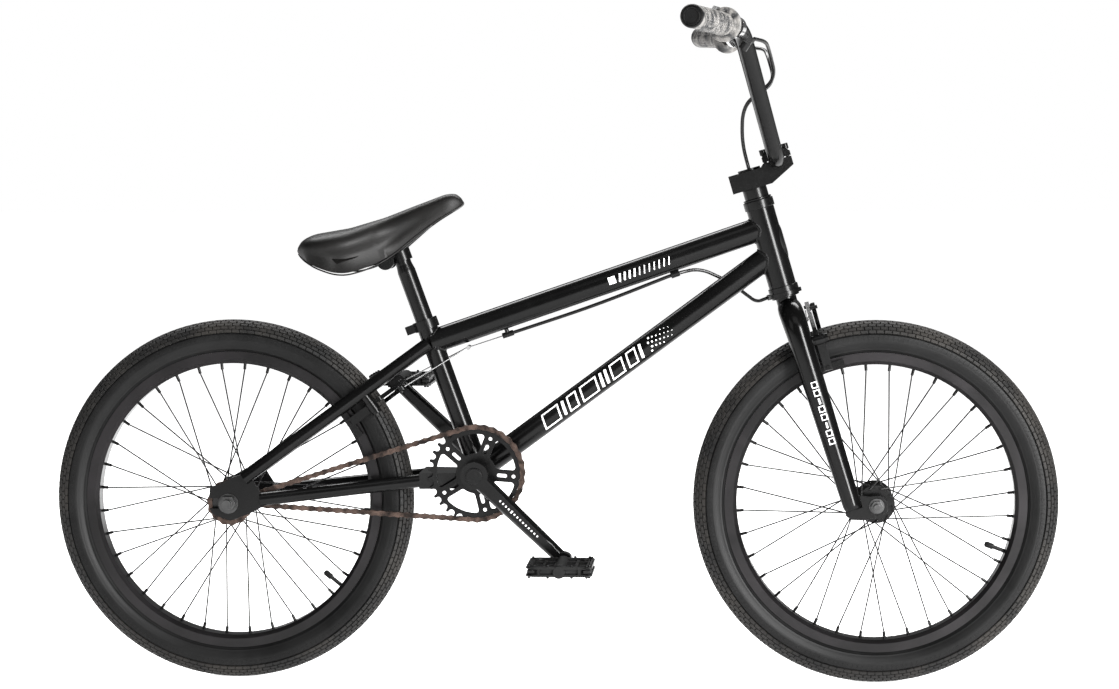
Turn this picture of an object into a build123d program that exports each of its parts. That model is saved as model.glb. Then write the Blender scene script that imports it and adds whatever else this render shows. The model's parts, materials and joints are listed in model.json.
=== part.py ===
"""A 20 inch BMX bike as separate pieces, in millimetres.

The origin lies on the ground, midway between the axles, in the centre plane. +X points forwards, +Z up,
and the drive side is -Y.
"""

from build123d import *

import os
from math import asin, atan2, cos, degrees, hypot, pi, radians, sin, sqrt, tan

# ---------------------------------------------------------------- driving dimensions
# wheels
WHEELBASE = 897.0
TYRE_DIAMETER = 506.0
TYRE_WIDTH = 50.0
TYRE_WALL = 3.5
RIM_WIDTH = 34.0
TYRE_HEIGHT = 49.0
RIM_BEAD_RADIUS = TYRE_DIAMETER / 2 - TYRE_HEIGHT
RIM_DEPTH = 12.0
RIM_WALL = 2.0
RIM_FLANGE = 5.0
SPOKES = 36
SPOKE_RADIUS = 1.0
ELBOW_RADIUS = 1.2
SPOKE_CROSSES = 3
NIPPLE_RADIUS = 2.2
HUB_FLANGE_RADIUS = 26.0
HUB_HOLE_RADIUS = 22.5
HUB_BARREL_RADIUS = 15.0
HUB_FLANGE_THICKNESS = 3.0
FRONT_FLANGE_SPACING = 66.0
REAR_FLANGE_SPACING = 60.0
FRONT_DROPOUT_SPACING = 100.0
REAR_DROPOUT_SPACING = 110.0
FRONT_AXLE_RADIUS = 4.75
REAR_AXLE_RADIUS = 7.0
AXLE_END_RELIEF = 0.4
AXLE_END_LENGTH = 7.4
FRONT_VALVE_ANGLE = -20.9
REAR_VALVE_ANGLE = -39.5
# chain and drive
CHAIN_PITCH = 12.7
PLATE_WIDTH = 8.2
PLATE_THICKNESS = 1.0
INNER_PLATE_OUT = 1.65
OUTER_PLATE_OUT = 2.75
ROLLER_RADIUS = 3.87
CHAIN_LINE = 46.0
SPROCKET_TEETH = 32
SPROCKET_ARMS = 5
SPROCKET_TURN = -4.6
COG_TEETH = 14
AXLE_TO_BRACKET = 345.0
BRACKET_RISE = 42.0
CRANK_LENGTH = 170.0
CRANK_BOSS_RADIUS = 19.0
CRANK_ANGLE = -43.6
SPINDLE_RADIUS = 9.5
BRACKET_SHELL_RADIUS = 22.5
BRACKET_SHELL_WIDTH = 73.0
PEDAL_WIDTH = 95.0
PEDAL_LENGTH = 90.0
PEDAL_HEIGHT = 19.0
# frame tubes
HEAD_ANGLE = 73.8
SEAT_ANGLE = 70.1
SEAT_TUBE_LENGTH = 224.0
SEAT_TUBE_RADIUS = 14.3
TOP_TUBE_RADIUS = 17.0
DOWN_TUBE_RADIUS = 16.3
HEAD_TUBE_RADIUS = 19.2
HEAD_TUBE_LENGTH = 112.0
STAY_RADIUS = 9.5
TUBE_WALL = 1.6
SEAT_POST_RADIUS = 12.7
SEAT_POST_NECK_RADIUS = 11.1
SEAT_POST_INSERTION = 115.0
# fork and cockpit
FORK_LENGTH = TYRE_DIAMETER / 2 + 59.0
FORK_OFFSET = 40.0
STEERER_RADIUS = 14.3
STEM_REACH = 40.0
STEM_WIDTH = 52.0
HEADSET_SPACER = 14.0
BAR_RADIUS = 11.1
BAR_WIDTH = 704.0
GRIP_RADIUS = 15.5
GRIP_FLANGE_RADIUS = 23.0
GRIP_LENGTH = 132.0
# brakes and cables
BRAKE_STUD_SPACING = 72.0
BRAKE_STUD_RADIUS = 4.0
STUD_FOOT_RADIUS = 7.0
BRAKE_ARM_REACH = 40.5
BRAKE_ARM_RISE = 47.0
PAD_GAP = 2.0
HOUSING_RADIUS = 2.5
WIRE_RADIUS = 0.9
# fits
RUNNING_FIT = 0.05
CLEAR = 0.3

Y_AXIS = Vector(0, 1, 0)
REAR_AXLE = Vector(-WHEELBASE / 2, 0, TYRE_DIAMETER / 2)
FRONT_AXLE = Vector(WHEELBASE / 2, 0, TYRE_DIAMETER / 2)

PIECES = {}


# ---------------------------------------------------------------- helpers
STANDING = (Align.CENTER, Align.CENTER, Align.MIN)


def rod(start, end, radius):
    """A solid round bar between two points."""
    start, end = Vector(start), Vector(end)
    place = Plane(origin=start, z_dir=end - start)
    return place * Cylinder(radius, (end - start).length, align=STANDING)


def taper(start, end, start_radius, end_radius):
    """A solid cone frustum between two points."""
    start, end = Vector(start), Vector(end)
    place = Plane(origin=start, z_dir=end - start)
    length = (end - start).length
    if abs(start_radius - end_radius) < 1e-6:
        return rod(start, end, start_radius)
    return place * Cone(start_radius, end_radius, length, align=STANDING)


def pipe(start, end, radius, bore):
    """A round tube between two points."""
    return rod(start, end, radius) - rod(start, end, bore)


def across(x, z, y_start, y_end, radius):
    """A round bar along Y."""
    return rod((x, y_start, z), (x, y_end, z), radius)


def ring(centre, y_start, y_end, radius, bore):
    """A ring about a line along Y through a centre."""
    outer = across(centre.X, centre.Z, y_start, y_end, radius)
    return outer - across(centre.X, centre.Z, y_start - 1, y_end + 1, bore)


def side_plate(points, y_start, y_end):
    """A flat plate from an outline of (x, z) points."""
    outline = make_face(Polyline(*[(x, 0, z) for x, z in points], close=True))
    return extrude(outline.moved(Location((0, y_start, 0))), y_end - y_start, dir=(0, 1, 0))


def both_sides(shape):
    """A shape and its mirror image across the centre plane, as two solids."""
    return group(shape, mirror(shape, Plane.XZ))


def group(*shapes):
    """Separate solids held in one node."""
    solids = [solid for shape in shapes for solid in shape.solids()]
    return Compound(children=solids)


def round_cable(points, radius):
    """A cable along straight runs joined by arcs as large as the runs allow."""
    points = [Vector(*point) for point in points]
    radii = []
    for before, corner, after in zip(points, points[1:], points[2:]):
        run_in, run_out = corner - before, after - corner
        turn = radians(run_in.get_angle(run_out))
        radii.append(0.45 * min(run_in.length, run_out.length) / tan(turn / 2))
    print("cable radii", [round(value) for value in radii])
    path = FilletPolyline(*points, radius=radii)
    start = Plane(origin=path @ 0, z_dir=path % 0)
    cable = sweep(start * Circle(radius), path=path)
    expected = pi * radius**2 * path.length
    print("cable length %.0f, volume ratio %.4f" % (path.length, cable.volume / expected))
    return cable


def polar(centre, radius, angle, y=0.0):
    """A point at a radius and an angle (degrees, up from +X) about a centre, in a plane of constant Y."""
    return Vector(centre.X + radius * cos(radians(angle)), y, centre.Z + radius * sin(radians(angle)))


# ---------------------------------------------------------------- chain layout
def pitch_radius(teeth):
    return CHAIN_PITCH / (2 * sin(pi / teeth))


def chain_layout():
    """Steps of pins on each sprocket, links in a straight run, and the centre distance that closes them."""
    big, small = pitch_radius(SPROCKET_TEETH), pitch_radius(COG_TEETH)
    lean = degrees(asin((big - small) / AXLE_TO_BRACKET))
    big_steps = round((90 + lean) * SPROCKET_TEETH / 180)
    small_steps = 2 * round(((90 - lean) * COG_TEETH / 180 - big_steps % 2) / 2) + big_steps % 2
    run_links = round(sqrt(AXLE_TO_BRACKET**2 - (big - small) ** 2) / CHAIN_PITCH)
    big_wrap = radians(big_steps * 180 / SPROCKET_TEETH)
    small_wrap = radians(small_steps * 180 / COG_TEETH)
    fall = big * sin(big_wrap) - small * sin(small_wrap)
    along = sqrt((run_links * CHAIN_PITCH) ** 2 - fall**2)
    distance = along - big * cos(big_wrap) - small * cos(small_wrap)
    return big_steps, small_steps, run_links, distance


BIG_STEPS, SMALL_STEPS, RUN_LINKS, CENTRE_DISTANCE = chain_layout()
BRACKET = REAR_AXLE + Vector(sqrt(CENTRE_DISTANCE**2 - BRACKET_RISE**2), 0, BRACKET_RISE)
DRIVE_TILT = degrees(atan2(BRACKET_RISE, BRACKET.X - REAR_AXLE.X))


# ---------------------------------------------------------------- steering frame
STEER_UP = Vector(-cos(radians(HEAD_ANGLE)), 0, sin(radians(HEAD_ANGLE)))
STEER_AHEAD = Vector(sin(radians(HEAD_ANGLE)), 0, cos(radians(HEAD_ANGLE)))
STEER_FOOT = FRONT_AXLE - STEER_AHEAD * FORK_OFFSET


def steer(ahead, side, up):
    """A point by its distance ahead of the steering axis, its Y, and its height up the axis."""
    return STEER_FOOT + STEER_AHEAD * ahead + Y_AXIS * side + STEER_UP * up


def steer_disc(low, high, radius, bore=0.0):
    """A disc or ring about the steering axis."""
    disc = rod(steer(0, 0, low), steer(0, 0, high), radius)
    if bore:
        disc = disc - rod(steer(0, 0, low - 1), steer(0, 0, high + 1), bore)
    return disc


CUP_HEIGHT = 12.0
LOWER_CUP = FORK_LENGTH
HEAD_LOW = LOWER_CUP + CUP_HEIGHT
HEAD_HIGH = HEAD_LOW + HEAD_TUBE_LENGTH
UPPER_CUP_TOP = HEAD_HIGH + CUP_HEIGHT
CONE_TOP = UPPER_CUP_TOP + 3.0
STEM_LOW = CONE_TOP + HEADSET_SPACER
STEM_BAR_UP = STEM_LOW + 29.0
STEM_TOP = STEM_LOW + 25.0
CUP_RADIUS = HEAD_TUBE_RADIUS + 1.8
BEARING_RADIUS = HEAD_TUBE_RADIUS - 1.4


# ---------------------------------------------------------------- frame
TOP_TUBE_FRONT = steer(0, 0, HEAD_HIGH - 27.0)
DOWN_TUBE_FRONT = steer(0, 0, HEAD_LOW + 47.0)
SEAT_UP = Vector(-cos(radians(SEAT_ANGLE)), 0, sin(radians(SEAT_ANGLE)))
SEAT_CLAMP_HEIGHT = 14.0
SEAT_TUBE_TOP = BRACKET + SEAT_UP * SEAT_TUBE_LENGTH
TOP_TUBE_REAR = BRACKET + SEAT_UP * (SEAT_TUBE_LENGTH - SEAT_CLAMP_HEIGHT - TOP_TUBE_RADIUS - 2.0)


def frame_tubes():
    """Main tubes, each mitred to the ones that it is welded to."""
    head = pipe(steer(0, 0, HEAD_LOW), steer(0, 0, HEAD_HIGH), HEAD_TUBE_RADIUS, BEARING_RADIUS)
    head_solid = rod(steer(0, 0, HEAD_LOW), steer(0, 0, HEAD_HIGH), HEAD_TUBE_RADIUS)
    shell_solid = across(BRACKET.X, BRACKET.Z, -BRACKET_SHELL_WIDTH / 2, BRACKET_SHELL_WIDTH / 2,
                         BRACKET_SHELL_RADIUS)
    seat_solid = rod(BRACKET, SEAT_TUBE_TOP, SEAT_TUBE_RADIUS)
    top_solid = rod(TOP_TUBE_REAR, TOP_TUBE_FRONT, TOP_TUBE_RADIUS)
    down_solid = rod(BRACKET, DOWN_TUBE_FRONT, DOWN_TUBE_RADIUS)
    post_bore = rod(BRACKET, SEAT_TUBE_TOP + SEAT_UP * 20, SEAT_POST_RADIUS + RUNNING_FIT)
    top = pipe(TOP_TUBE_REAR, TOP_TUBE_FRONT, TOP_TUBE_RADIUS, TOP_TUBE_RADIUS - TUBE_WALL)
    down = pipe(BRACKET, DOWN_TUBE_FRONT, DOWN_TUBE_RADIUS, DOWN_TUBE_RADIUS - TUBE_WALL)
    PIECES["head_tube"] = head
    PIECES["seat_tube"] = largest(seat_solid - post_bore - shell_solid)
    PIECES["top_tube"] = largest(top - head_solid - seat_solid)
    PIECES["down_tube"] = largest(down - head_solid - shell_solid - seat_solid - top_solid)
    return {"head": head_solid, "shell": shell_solid, "seat": seat_solid, "top": top_solid,
            "down": down_solid}


def largest(shape):
    """The largest solid of a cut, without the offcuts."""
    return max(shape.solids(), key=lambda solid: solid.volume)


def bottom_bracket():
    half = BRACKET_SHELL_WIDTH / 2
    cup_depth = 14.0
    bearing_radius = BRACKET_SHELL_RADIUS - 2.5
    PIECES["bottom_bracket_shell"] = ring(BRACKET, -half, half, BRACKET_SHELL_RADIUS, bearing_radius)
    bearing = ring(BRACKET, half - cup_depth, half, bearing_radius, SPINDLE_RADIUS + RUNNING_FIT)
    return both_sides(bearing)


CHAIN_STAY_REAR = Vector(REAR_AXLE.X + 44, REAR_DROPOUT_SPACING / 2 + 1.0, REAR_AXLE.Z + 5.5)
YOKE_REAR_X = REAR_AXLE.X + TYRE_DIAMETER / 2 + 12.0
CHAIN_STAY_FRONT = Vector(YOKE_REAR_X, 37.0, REAR_AXLE.Z + 30.5)
SEAT_STAY_REAR = Vector(REAR_AXLE.X + 22, CHAIN_LINE + 6.0 + STAY_RADIUS, REAR_AXLE.Z + 35)
SEAT_STAY_FRONT = Vector(TOP_TUBE_REAR.X - 3, SEAT_TUBE_RADIUS + STAY_RADIUS - 1.5, TOP_TUBE_REAR.Z - 1)
DROPOUT_THICKNESS = 6.0
STAY_PLUG = 5.0


def rear_triangle(tubes):
    """Chain stays with their yoke, seat stays, and the dropout plates that the axle is bolted to."""
    yoke_height = 22.0
    x, z = CHAIN_STAY_FRONT.X, CHAIN_STAY_FRONT.Z
    half_rear, half_front = CHAIN_STAY_FRONT.Y + STAY_RADIUS - 2.0, BRACKET_SHELL_WIDTH / 2 - 4.0
    corners = [(x, -half_rear), (BRACKET.X, -half_front), (BRACKET.X, half_front), (x, half_rear)]
    plan = make_face(Polyline(*[(px, py, z - yoke_height / 2) for px, py in corners], close=True))
    yoke = extrude(plan, yoke_height, dir=(0, 0, 1)) - tubes["shell"] - tubes["seat"] - tubes["down"]
    stay = rod(CHAIN_STAY_REAR, CHAIN_STAY_FRONT, STAY_RADIUS)
    stay = stay - rod(CHAIN_STAY_REAR, CHAIN_STAY_FRONT, STAY_RADIUS - TUBE_WALL)
    lower_way = (CHAIN_STAY_FRONT - CHAIN_STAY_REAR).normalized()
    stay = stay + rod(CHAIN_STAY_REAR, CHAIN_STAY_REAR + lower_way * STAY_PLUG, STAY_RADIUS)
    stay = largest(stay - yoke)
    PIECES["chain_stays"] = group(both_sides(stay), largest(yoke))
    upper = rod(SEAT_STAY_REAR, SEAT_STAY_FRONT, STAY_RADIUS)
    upper = upper - rod(SEAT_STAY_REAR, SEAT_STAY_FRONT, STAY_RADIUS - TUBE_WALL)
    upper_way = (SEAT_STAY_FRONT - SEAT_STAY_REAR).normalized()
    upper = upper + rod(SEAT_STAY_REAR, SEAT_STAY_REAR + upper_way * STAY_PLUG, STAY_RADIUS)
    upper = largest(upper - tubes["seat"] - tubes["top"])
    PIECES["seat_stays"] = both_sides(upper)
    PIECES["rear_dropouts"] = both_sides(rear_dropout(stay, upper))


def rear_dropout(chain_stay, seat_stay):
    """A slotted plate, open to the rear, with the stays' ends let into it."""
    outline = [(-26, 22), (-12, 27), (4, 36), (24, 42), (34, 33), (46, 14), (56, 0), (30, -14), (2, -24),
               (-22, -15), (-26, -REAR_AXLE_RADIUS - 1)]
    points = [(REAR_AXLE.X + dx, REAR_AXLE.Z + dz) for dx, dz in outline]
    inner = REAR_DROPOUT_SPACING / 2
    plate = side_plate(points, inner, inner + DROPOUT_THICKNESS)
    axle_hole = across(REAR_AXLE.X, REAR_AXLE.Z, inner - 1, inner + DROPOUT_THICKNESS + 1, REAR_AXLE_RADIUS)
    slot = Box(60, 20, 2 * REAR_AXLE_RADIUS, align=(Align.MAX, Align.CENTER, Align.CENTER))
    slot = slot.moved(Location((REAR_AXLE.X, inner, REAR_AXLE.Z)))
    return largest(plate - axle_hole - slot - chain_stay - seat_stay)


def seat_clamp():
    """A split ring at the top of the seat tube with a bolt behind it."""
    height = SEAT_CLAMP_HEIGHT
    low, high = SEAT_TUBE_TOP - SEAT_UP * height, SEAT_TUBE_TOP
    radius = SEAT_TUBE_RADIUS + 3.5
    back = Plane(origin=SEAT_TUBE_TOP - SEAT_UP * (height / 2), x_dir=Y_AXIS, z_dir=SEAT_UP)
    ears = back * Pos(0, radius + 3, 0) * Box(16, 16, height - 2)
    gap = back * Pos(0, radius + 3, 0) * Box(2.5, 24, height + 4)
    clamp = rod(low, high, radius) + ears - rod(low, high, SEAT_TUBE_RADIUS) - gap
    bolt_at = back * Pos(0, radius + 5, 0)
    clamp = clamp - bolt_at * Rot(0, 90, 0) * Cylinder(2.5, 40)
    bolt = bolt_at * Rot(0, 90, 0) * Cylinder(2.5, 16)
    head = bolt_at * Pos(10.5, 0, 0) * Rot(0, 90, 0) * Cylinder(4.2, 5)
    PIECES["seat_clamp"] = group(clamp, bolt + head)


def headset(bracket_bearings):
    """Cups, bearings (kept with the bracket's), and the races and spacer on the steerer."""
    lower = steer_disc(LOWER_CUP, HEAD_LOW, CUP_RADIUS, BEARING_RADIUS)
    upper = steer_disc(HEAD_HIGH, UPPER_CUP_TOP, CUP_RADIUS, BEARING_RADIUS)
    bore = STEERER_RADIUS + RUNNING_FIT
    lower_bearing = steer_disc(LOWER_CUP + 1, HEAD_LOW, BEARING_RADIUS, bore)
    upper_bearing = steer_disc(HEAD_HIGH, UPPER_CUP_TOP - 1, BEARING_RADIUS, bore)
    PIECES["headset_cups"] = group(lower, upper)
    PIECES["frame_bearings"] = group(lower_bearing, upper_bearing, bracket_bearings)
    cone = steer_disc(UPPER_CUP_TOP + CLEAR, CONE_TOP, CUP_RADIUS - 1.5, STEERER_RADIUS)
    spacer = steer_disc(CONE_TOP, STEM_LOW, STEERER_RADIUS + 2.6, STEERER_RADIUS)
    race = steer_disc(LOWER_CUP - 4, LOWER_CUP - CLEAR, CUP_RADIUS - 1.5, STEERER_RADIUS)
    PIECES["headset_races"] = group(cone, spacer, race)


# ---------------------------------------------------------------- fork and cockpit
BLADE_TOP = steer(2.5, 45, 264)
BLADE_BOTTOM = steer(8, 53, 4)
BLADE_TOP_RADIUS = 16.0
BLADE_BOTTOM_RADIUS = 13.0


def fork():
    crown_top = LOWER_CUP - 4.5
    crown_radius = STEERER_RADIUS + 3.7
    shoulder_in = steer(1, 13, crown_top - crown_radius)
    steerer = steer_disc(crown_top - 24, STEM_TOP - 2, STEERER_RADIUS, STEERER_RADIUS - 2.4)
    steerer_solid = steer_disc(crown_top - 60, STEM_TOP, STEERER_RADIUS)
    PIECES["fork_steerer"] = steerer
    blade = taper(BLADE_TOP, BLADE_BOTTOM, BLADE_TOP_RADIUS, BLADE_BOTTOM_RADIUS)
    joint = Location(BLADE_TOP) * Sphere(BLADE_TOP_RADIUS)
    shoulder = taper(shoulder_in, BLADE_TOP, crown_radius - 1, BLADE_TOP_RADIUS)
    blade = blade + joint + shoulder
    half_space = Box(4000, 2000, 4000, align=(Align.CENTER, Align.MIN, Align.CENTER))
    blade = largest((blade & half_space) - steerer_solid)
    PIECES["fork_blades"] = both_sides(blade)
    inner = FRONT_DROPOUT_SPACING / 2
    dropout = side_plate(front_dropout_outline(), inner, inner + 5)
    hole = across(FRONT_AXLE.X, FRONT_AXLE.Z, inner - 1, inner + 8, FRONT_AXLE_RADIUS)
    slot = Plane(origin=FRONT_AXLE + Y_AXIS * inner, x_dir=STEER_AHEAD, z_dir=Vector(0, -1, 0))
    slot = slot * Pos(0, -20, 0) * Box(2 * FRONT_AXLE_RADIUS, 40, 30)
    PIECES["fork_dropouts"] = both_sides(largest(dropout - hole - slot - blade))
    return blade


def front_dropout_outline():
    """A blade end plate that carries the axle ahead of the blade."""
    local = [(-4, 22), (14, 24), (FORK_OFFSET - 8, 16), (FORK_OFFSET + 10, 12), (FORK_OFFSET + 16, 2),
             (FORK_OFFSET + 12, -11), (FORK_OFFSET, -16), (18, -14), (2, -9), (-4, -2)]
    points = [steer(ahead, 0, up) for ahead, up in local]
    return [(point.X, point.Z) for point in points]


def stem():
    """A stem whose cap clamps the bar from above, with its cap and bolts."""
    low, top, bar_up = STEM_LOW, STEM_TOP, STEM_BAR_UP
    back, nose = -30.0, STEM_REACH + 21.0
    outline = [(back, low), (back, top), (STEERER_RADIUS + 2.5, top), (STEM_REACH - 19, bar_up),
               (nose, bar_up), (nose, bar_up - 12), (26, low)]
    points = [steer(ahead, 0, up) for ahead, up in outline]
    half = STEM_WIDTH / 2
    body = side_plate([(point.X, point.Z) for point in points], -half, half)
    clamp_point = steer(STEM_REACH, 0, bar_up)
    bar_hole = across(clamp_point.X, clamp_point.Z, -half - 1, half + 1, BAR_RADIUS)
    slit = Plane(origin=steer(back, 0, low), x_dir=STEER_AHEAD, z_dir=STEER_UP) * Box(30, 3, 120)
    body = body - steer_disc(low - 1, top + 30, STEERER_RADIUS) - bar_hole - slit
    cap_outline = [(STEM_REACH - 19, bar_up + 1.5), (STEM_REACH - 19, bar_up + 8),
                   (STEM_REACH - 10, bar_up + 15), (STEM_REACH + 10, bar_up + 15),
                   (nose, bar_up + 8), (nose, bar_up + 1.5)]
    cap_points = [steer(ahead, 0, up) for ahead, up in cap_outline]
    cap = side_plate([(point.X, point.Z) for point in cap_points], -half, half) - bar_hole
    bolts = []
    for ahead in (STEM_REACH - 15.5, STEM_REACH + 16.5):
        for side in (-17, 17):
            shank = rod(steer(ahead, side, bar_up - 8), steer(ahead, side, bar_up + 15), 2.5)
            head = rod(steer(ahead, side, bar_up + 11), steer(ahead, side, bar_up + 19), 4.3)
            bolts.append(shank + head)
    for up in (low + 6.5, top - 6.5):
        shank = rod(steer(back + 6, -18, up), steer(back + 6, 18, up), 2.5)
        head = rod(steer(back + 6, half, up), steer(back + 6, half + 3, up), 4.3)
        bolts.append(shank + head + rod(steer(back + 6, 10, up), steer(back + 6, half, up), 2.5))
    for bolt in bolts:
        body = body - bolt
        cap = cap - bolt
    PIECES["stem"] = largest(body)
    PIECES["stem_cap"] = largest(cap)
    top_bolt = steer_disc(top - 14, top, STEERER_RADIUS - 2.4, 6.5)
    flange = steer_disc(top, top + 3, STEERER_RADIUS + 1.5, 6.5)
    PIECES["stem_bolts"] = group(*bolts, top_bolt + flange)


BAR_CLAMP = steer(STEM_REACH, 0, STEM_BAR_UP)
BAR_FOOT = BAR_CLAMP + Vector(0, STEM_WIDTH / 2 + 22, 0)
BAR_SHOULDER = BAR_CLAMP + Vector(-47.5, 160, 174)
BAR_TIP = Vector(BAR_CLAMP.X - 109, BAR_WIDTH / 2, BAR_CLAMP.Z + 182.5)
BAR_GRIP_WAY = (BAR_TIP - BAR_SHOULDER).normalized()
CROSSBAR_SHARE = 0.6


def handlebar():
    """The bent tube and the crossbar that is welded between its risers."""
    mirrored = [Vector(point.X, -point.Y, point.Z) for point in (BAR_TIP, BAR_SHOULDER, BAR_FOOT)]
    path = FilletPolyline(*mirrored, BAR_FOOT, BAR_SHOULDER, BAR_TIP, radius=[45, 36, 36, 45])
    start = Plane(origin=path @ 0, z_dir=path % 0)
    bar = sweep(start * Circle(BAR_RADIUS), path=path)
    cross = BAR_FOOT + (BAR_SHOULDER - BAR_FOOT) * CROSSBAR_SHARE
    crossbar = across(cross.X, cross.Z, -cross.Y, cross.Y, BAR_RADIUS - 2.6)
    PIECES["handlebar"] = bar + crossbar
    grip_start = BAR_TIP - BAR_GRIP_WAY * GRIP_LENGTH
    flange_end = grip_start + BAR_GRIP_WAY * 5
    grip = rod(grip_start, BAR_TIP, GRIP_RADIUS) + rod(grip_start, flange_end, GRIP_FLANGE_RADIUS)
    grip = grip - rod(grip_start - BAR_GRIP_WAY, BAR_TIP, BAR_RADIUS)
    PIECES["grips"] = both_sides(grip)
    PIECES["bar_end_plugs"] = both_sides(rod(BAR_TIP, BAR_TIP + BAR_GRIP_WAY * 5, GRIP_RADIUS))


LEVER_AIM = Vector(0.82, 0, -0.57)
LEVER_HINGE = LEVER_AIM.cross(BAR_GRIP_WAY).normalized()
LEVER_AHEAD = BAR_GRIP_WAY.cross(LEVER_HINGE)
LEVER_CLAMP_AT = 172.0
LEVER_PIVOT_OUT = 30.0


def lever_points():
    """Clamp centre on the bar, lever pivot, and blade tip for the left (+Y) side."""
    clamp = BAR_TIP - BAR_GRIP_WAY * LEVER_CLAMP_AT
    pivot = clamp + LEVER_AHEAD * LEVER_PIVOT_OUT + BAR_GRIP_WAY * 6
    tip = pivot + BAR_GRIP_WAY * 92 + LEVER_AHEAD * 26
    return clamp, pivot, tip


LEVER_CLAMP, LEVER_PIVOT, LEVER_TIP = lever_points()


def brake_levers():
    """Clamped brackets with forked ends, and the blades that turn in them."""
    band_start = LEVER_CLAMP - BAR_GRIP_WAY * 7
    band_end = LEVER_CLAMP + BAR_GRIP_WAY * 7
    band = rod(band_start, band_end, BAR_RADIUS + 3.2)
    place = Plane(origin=LEVER_CLAMP, x_dir=BAR_GRIP_WAY, z_dir=LEVER_HINGE)
    block = place * Pos(3, 23, 0) * Box(24, 26, 16)
    slot = place * Pos(9, 30, 0) * Box(30, 22, 7)
    pin = rod(LEVER_PIVOT - LEVER_HINGE * 9, LEVER_PIVOT + LEVER_HINGE * 9, 2.5)
    barrel_start = LEVER_CLAMP + LEVER_AHEAD * 24 - BAR_GRIP_WAY * 8.9
    barrel_end = barrel_start - BAR_GRIP_WAY * 14
    bracket = band + block - slot
    bracket = bracket - PIECES["handlebar"] + pin
    barrel = rod(barrel_start, barrel_end, 4.5)
    PIECES["brake_lever_brackets"] = both_sides(largest(bracket + barrel))
    blade_way = (LEVER_TIP - LEVER_PIVOT).normalized()
    hub = rod(LEVER_PIVOT - LEVER_HINGE * 3, LEVER_PIVOT + LEVER_HINGE * 3, 5.5)
    blade_plane = Plane(origin=LEVER_PIVOT, x_dir=blade_way, z_dir=LEVER_HINGE)
    blade_length = (LEVER_TIP - LEVER_PIVOT).length
    blade = blade_plane * Pos(blade_length / 2, 0, 0) * Box(blade_length, 8, 6)
    blade = blade + rod(LEVER_TIP - LEVER_HINGE * 5, LEVER_TIP + LEVER_HINGE * 5, 6)
    pivot_bore = rod(LEVER_PIVOT - LEVER_HINGE * 9, LEVER_PIVOT + LEVER_HINGE * 9, 2.5 + RUNNING_FIT)
    left_blade = largest(hub + blade - pivot_bore)
    PIECES["left_lever_blade"] = left_blade
    PIECES["right_lever_blade"] = mirror(left_blade, Plane.XZ)
    return barrel_end


# ---------------------------------------------------------------- brakes
def in_centre_plane(point):
    return Vector(point.X, 0, point.Z)


SEAT_STAY_WAY = in_centre_plane(SEAT_STAY_FRONT - SEAT_STAY_REAR).normalized()
SEAT_STAY_DOWN = Vector(SEAT_STAY_WAY.Z, 0, -SEAT_STAY_WAY.X)
REAR_STUD_AT = in_centre_plane(SEAT_STAY_REAR) + SEAT_STAY_WAY * (RIM_BEAD_RADIUS - 2.3) - SEAT_STAY_DOWN
FRONT_BRAKE = Plane(origin=steer(3, 0, RIM_BEAD_RADIUS + 37), x_dir=Y_AXIS, z_dir=STEER_AHEAD)
REAR_BRAKE = Plane(origin=REAR_STUD_AT, x_dir=Y_AXIS, z_dir=SEAT_STAY_DOWN)
ARM_BASE = 19.0
ARM_LAYER = 7.0
ARM_TIP_SIDE = 28.0


def brake_arm(side, layer):
    """One crossed arm with its pad, in the brake's frame: X sideways, Y up the arm, Z off the studs."""
    stud_x = side * BRAKE_STUD_SPACING / 2
    base, height = ARM_BASE, 2 * ARM_LAYER
    boss = Pos(stud_x, 0, base + height / 2) * Cylinder(8, height)
    arm_z = base + ARM_LAYER * (layer + 0.5)
    low_end = (stud_x - side * 1.0, -BRAKE_ARM_REACH)
    knee = (stud_x - side * 2, 14)
    tip = (-side * ARM_TIP_SIDE, BRAKE_ARM_RISE)
    lower = flat_bar((stud_x, 0), low_end, 8, height - 2, base + height / 2)
    middle = flat_bar((stud_x, 0), knee, 9, ARM_LAYER - 1, arm_z)
    upper = flat_bar(knee, tip, 8, ARM_LAYER - 1, arm_z)
    arm = boss + lower + middle + upper
    arm = arm - Pos(stud_x, 0, base + height / 2) * Cylinder(BRAKE_STUD_RADIUS + RUNNING_FIT, height + 20)
    pad_face = RIM_WIDTH / 2 + PAD_GAP
    pad_z = base + height / 2
    post_end = side * (pad_face + 6)
    post_start = stud_x + side * 6
    post = rod((post_start, -BRAKE_ARM_REACH, pad_z), (post_end, -BRAKE_ARM_REACH, pad_z), 3)
    arm = largest(arm - post)
    pad = Pos(side * (pad_face + 3), -BRAKE_ARM_REACH, pad_z) * Box(6, 9, 46)
    anchor = Pos(tip[0], tip[1] - 3, arm_z) * Cylinder(2.5, ARM_LAYER + 4)
    arm = largest(arm - anchor)
    return group(arm, pad, post, anchor)


def flat_bar(start, end, width, thickness, z):
    """A flat bar with round ends between two (x, y) points, at a height z."""
    (x0, y0), (x1, y1) = start, end
    length = hypot(x1 - x0, y1 - y0)
    slot = Rot(0, 0, degrees(atan2(y1 - y0, x1 - x0))) * SlotCenterToCenter(length, width)
    slot = Pos((x0 + x1) / 2, (y0 + y1) / 2, z - thickness / 2) * slot
    return extrude(slot, thickness)


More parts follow.
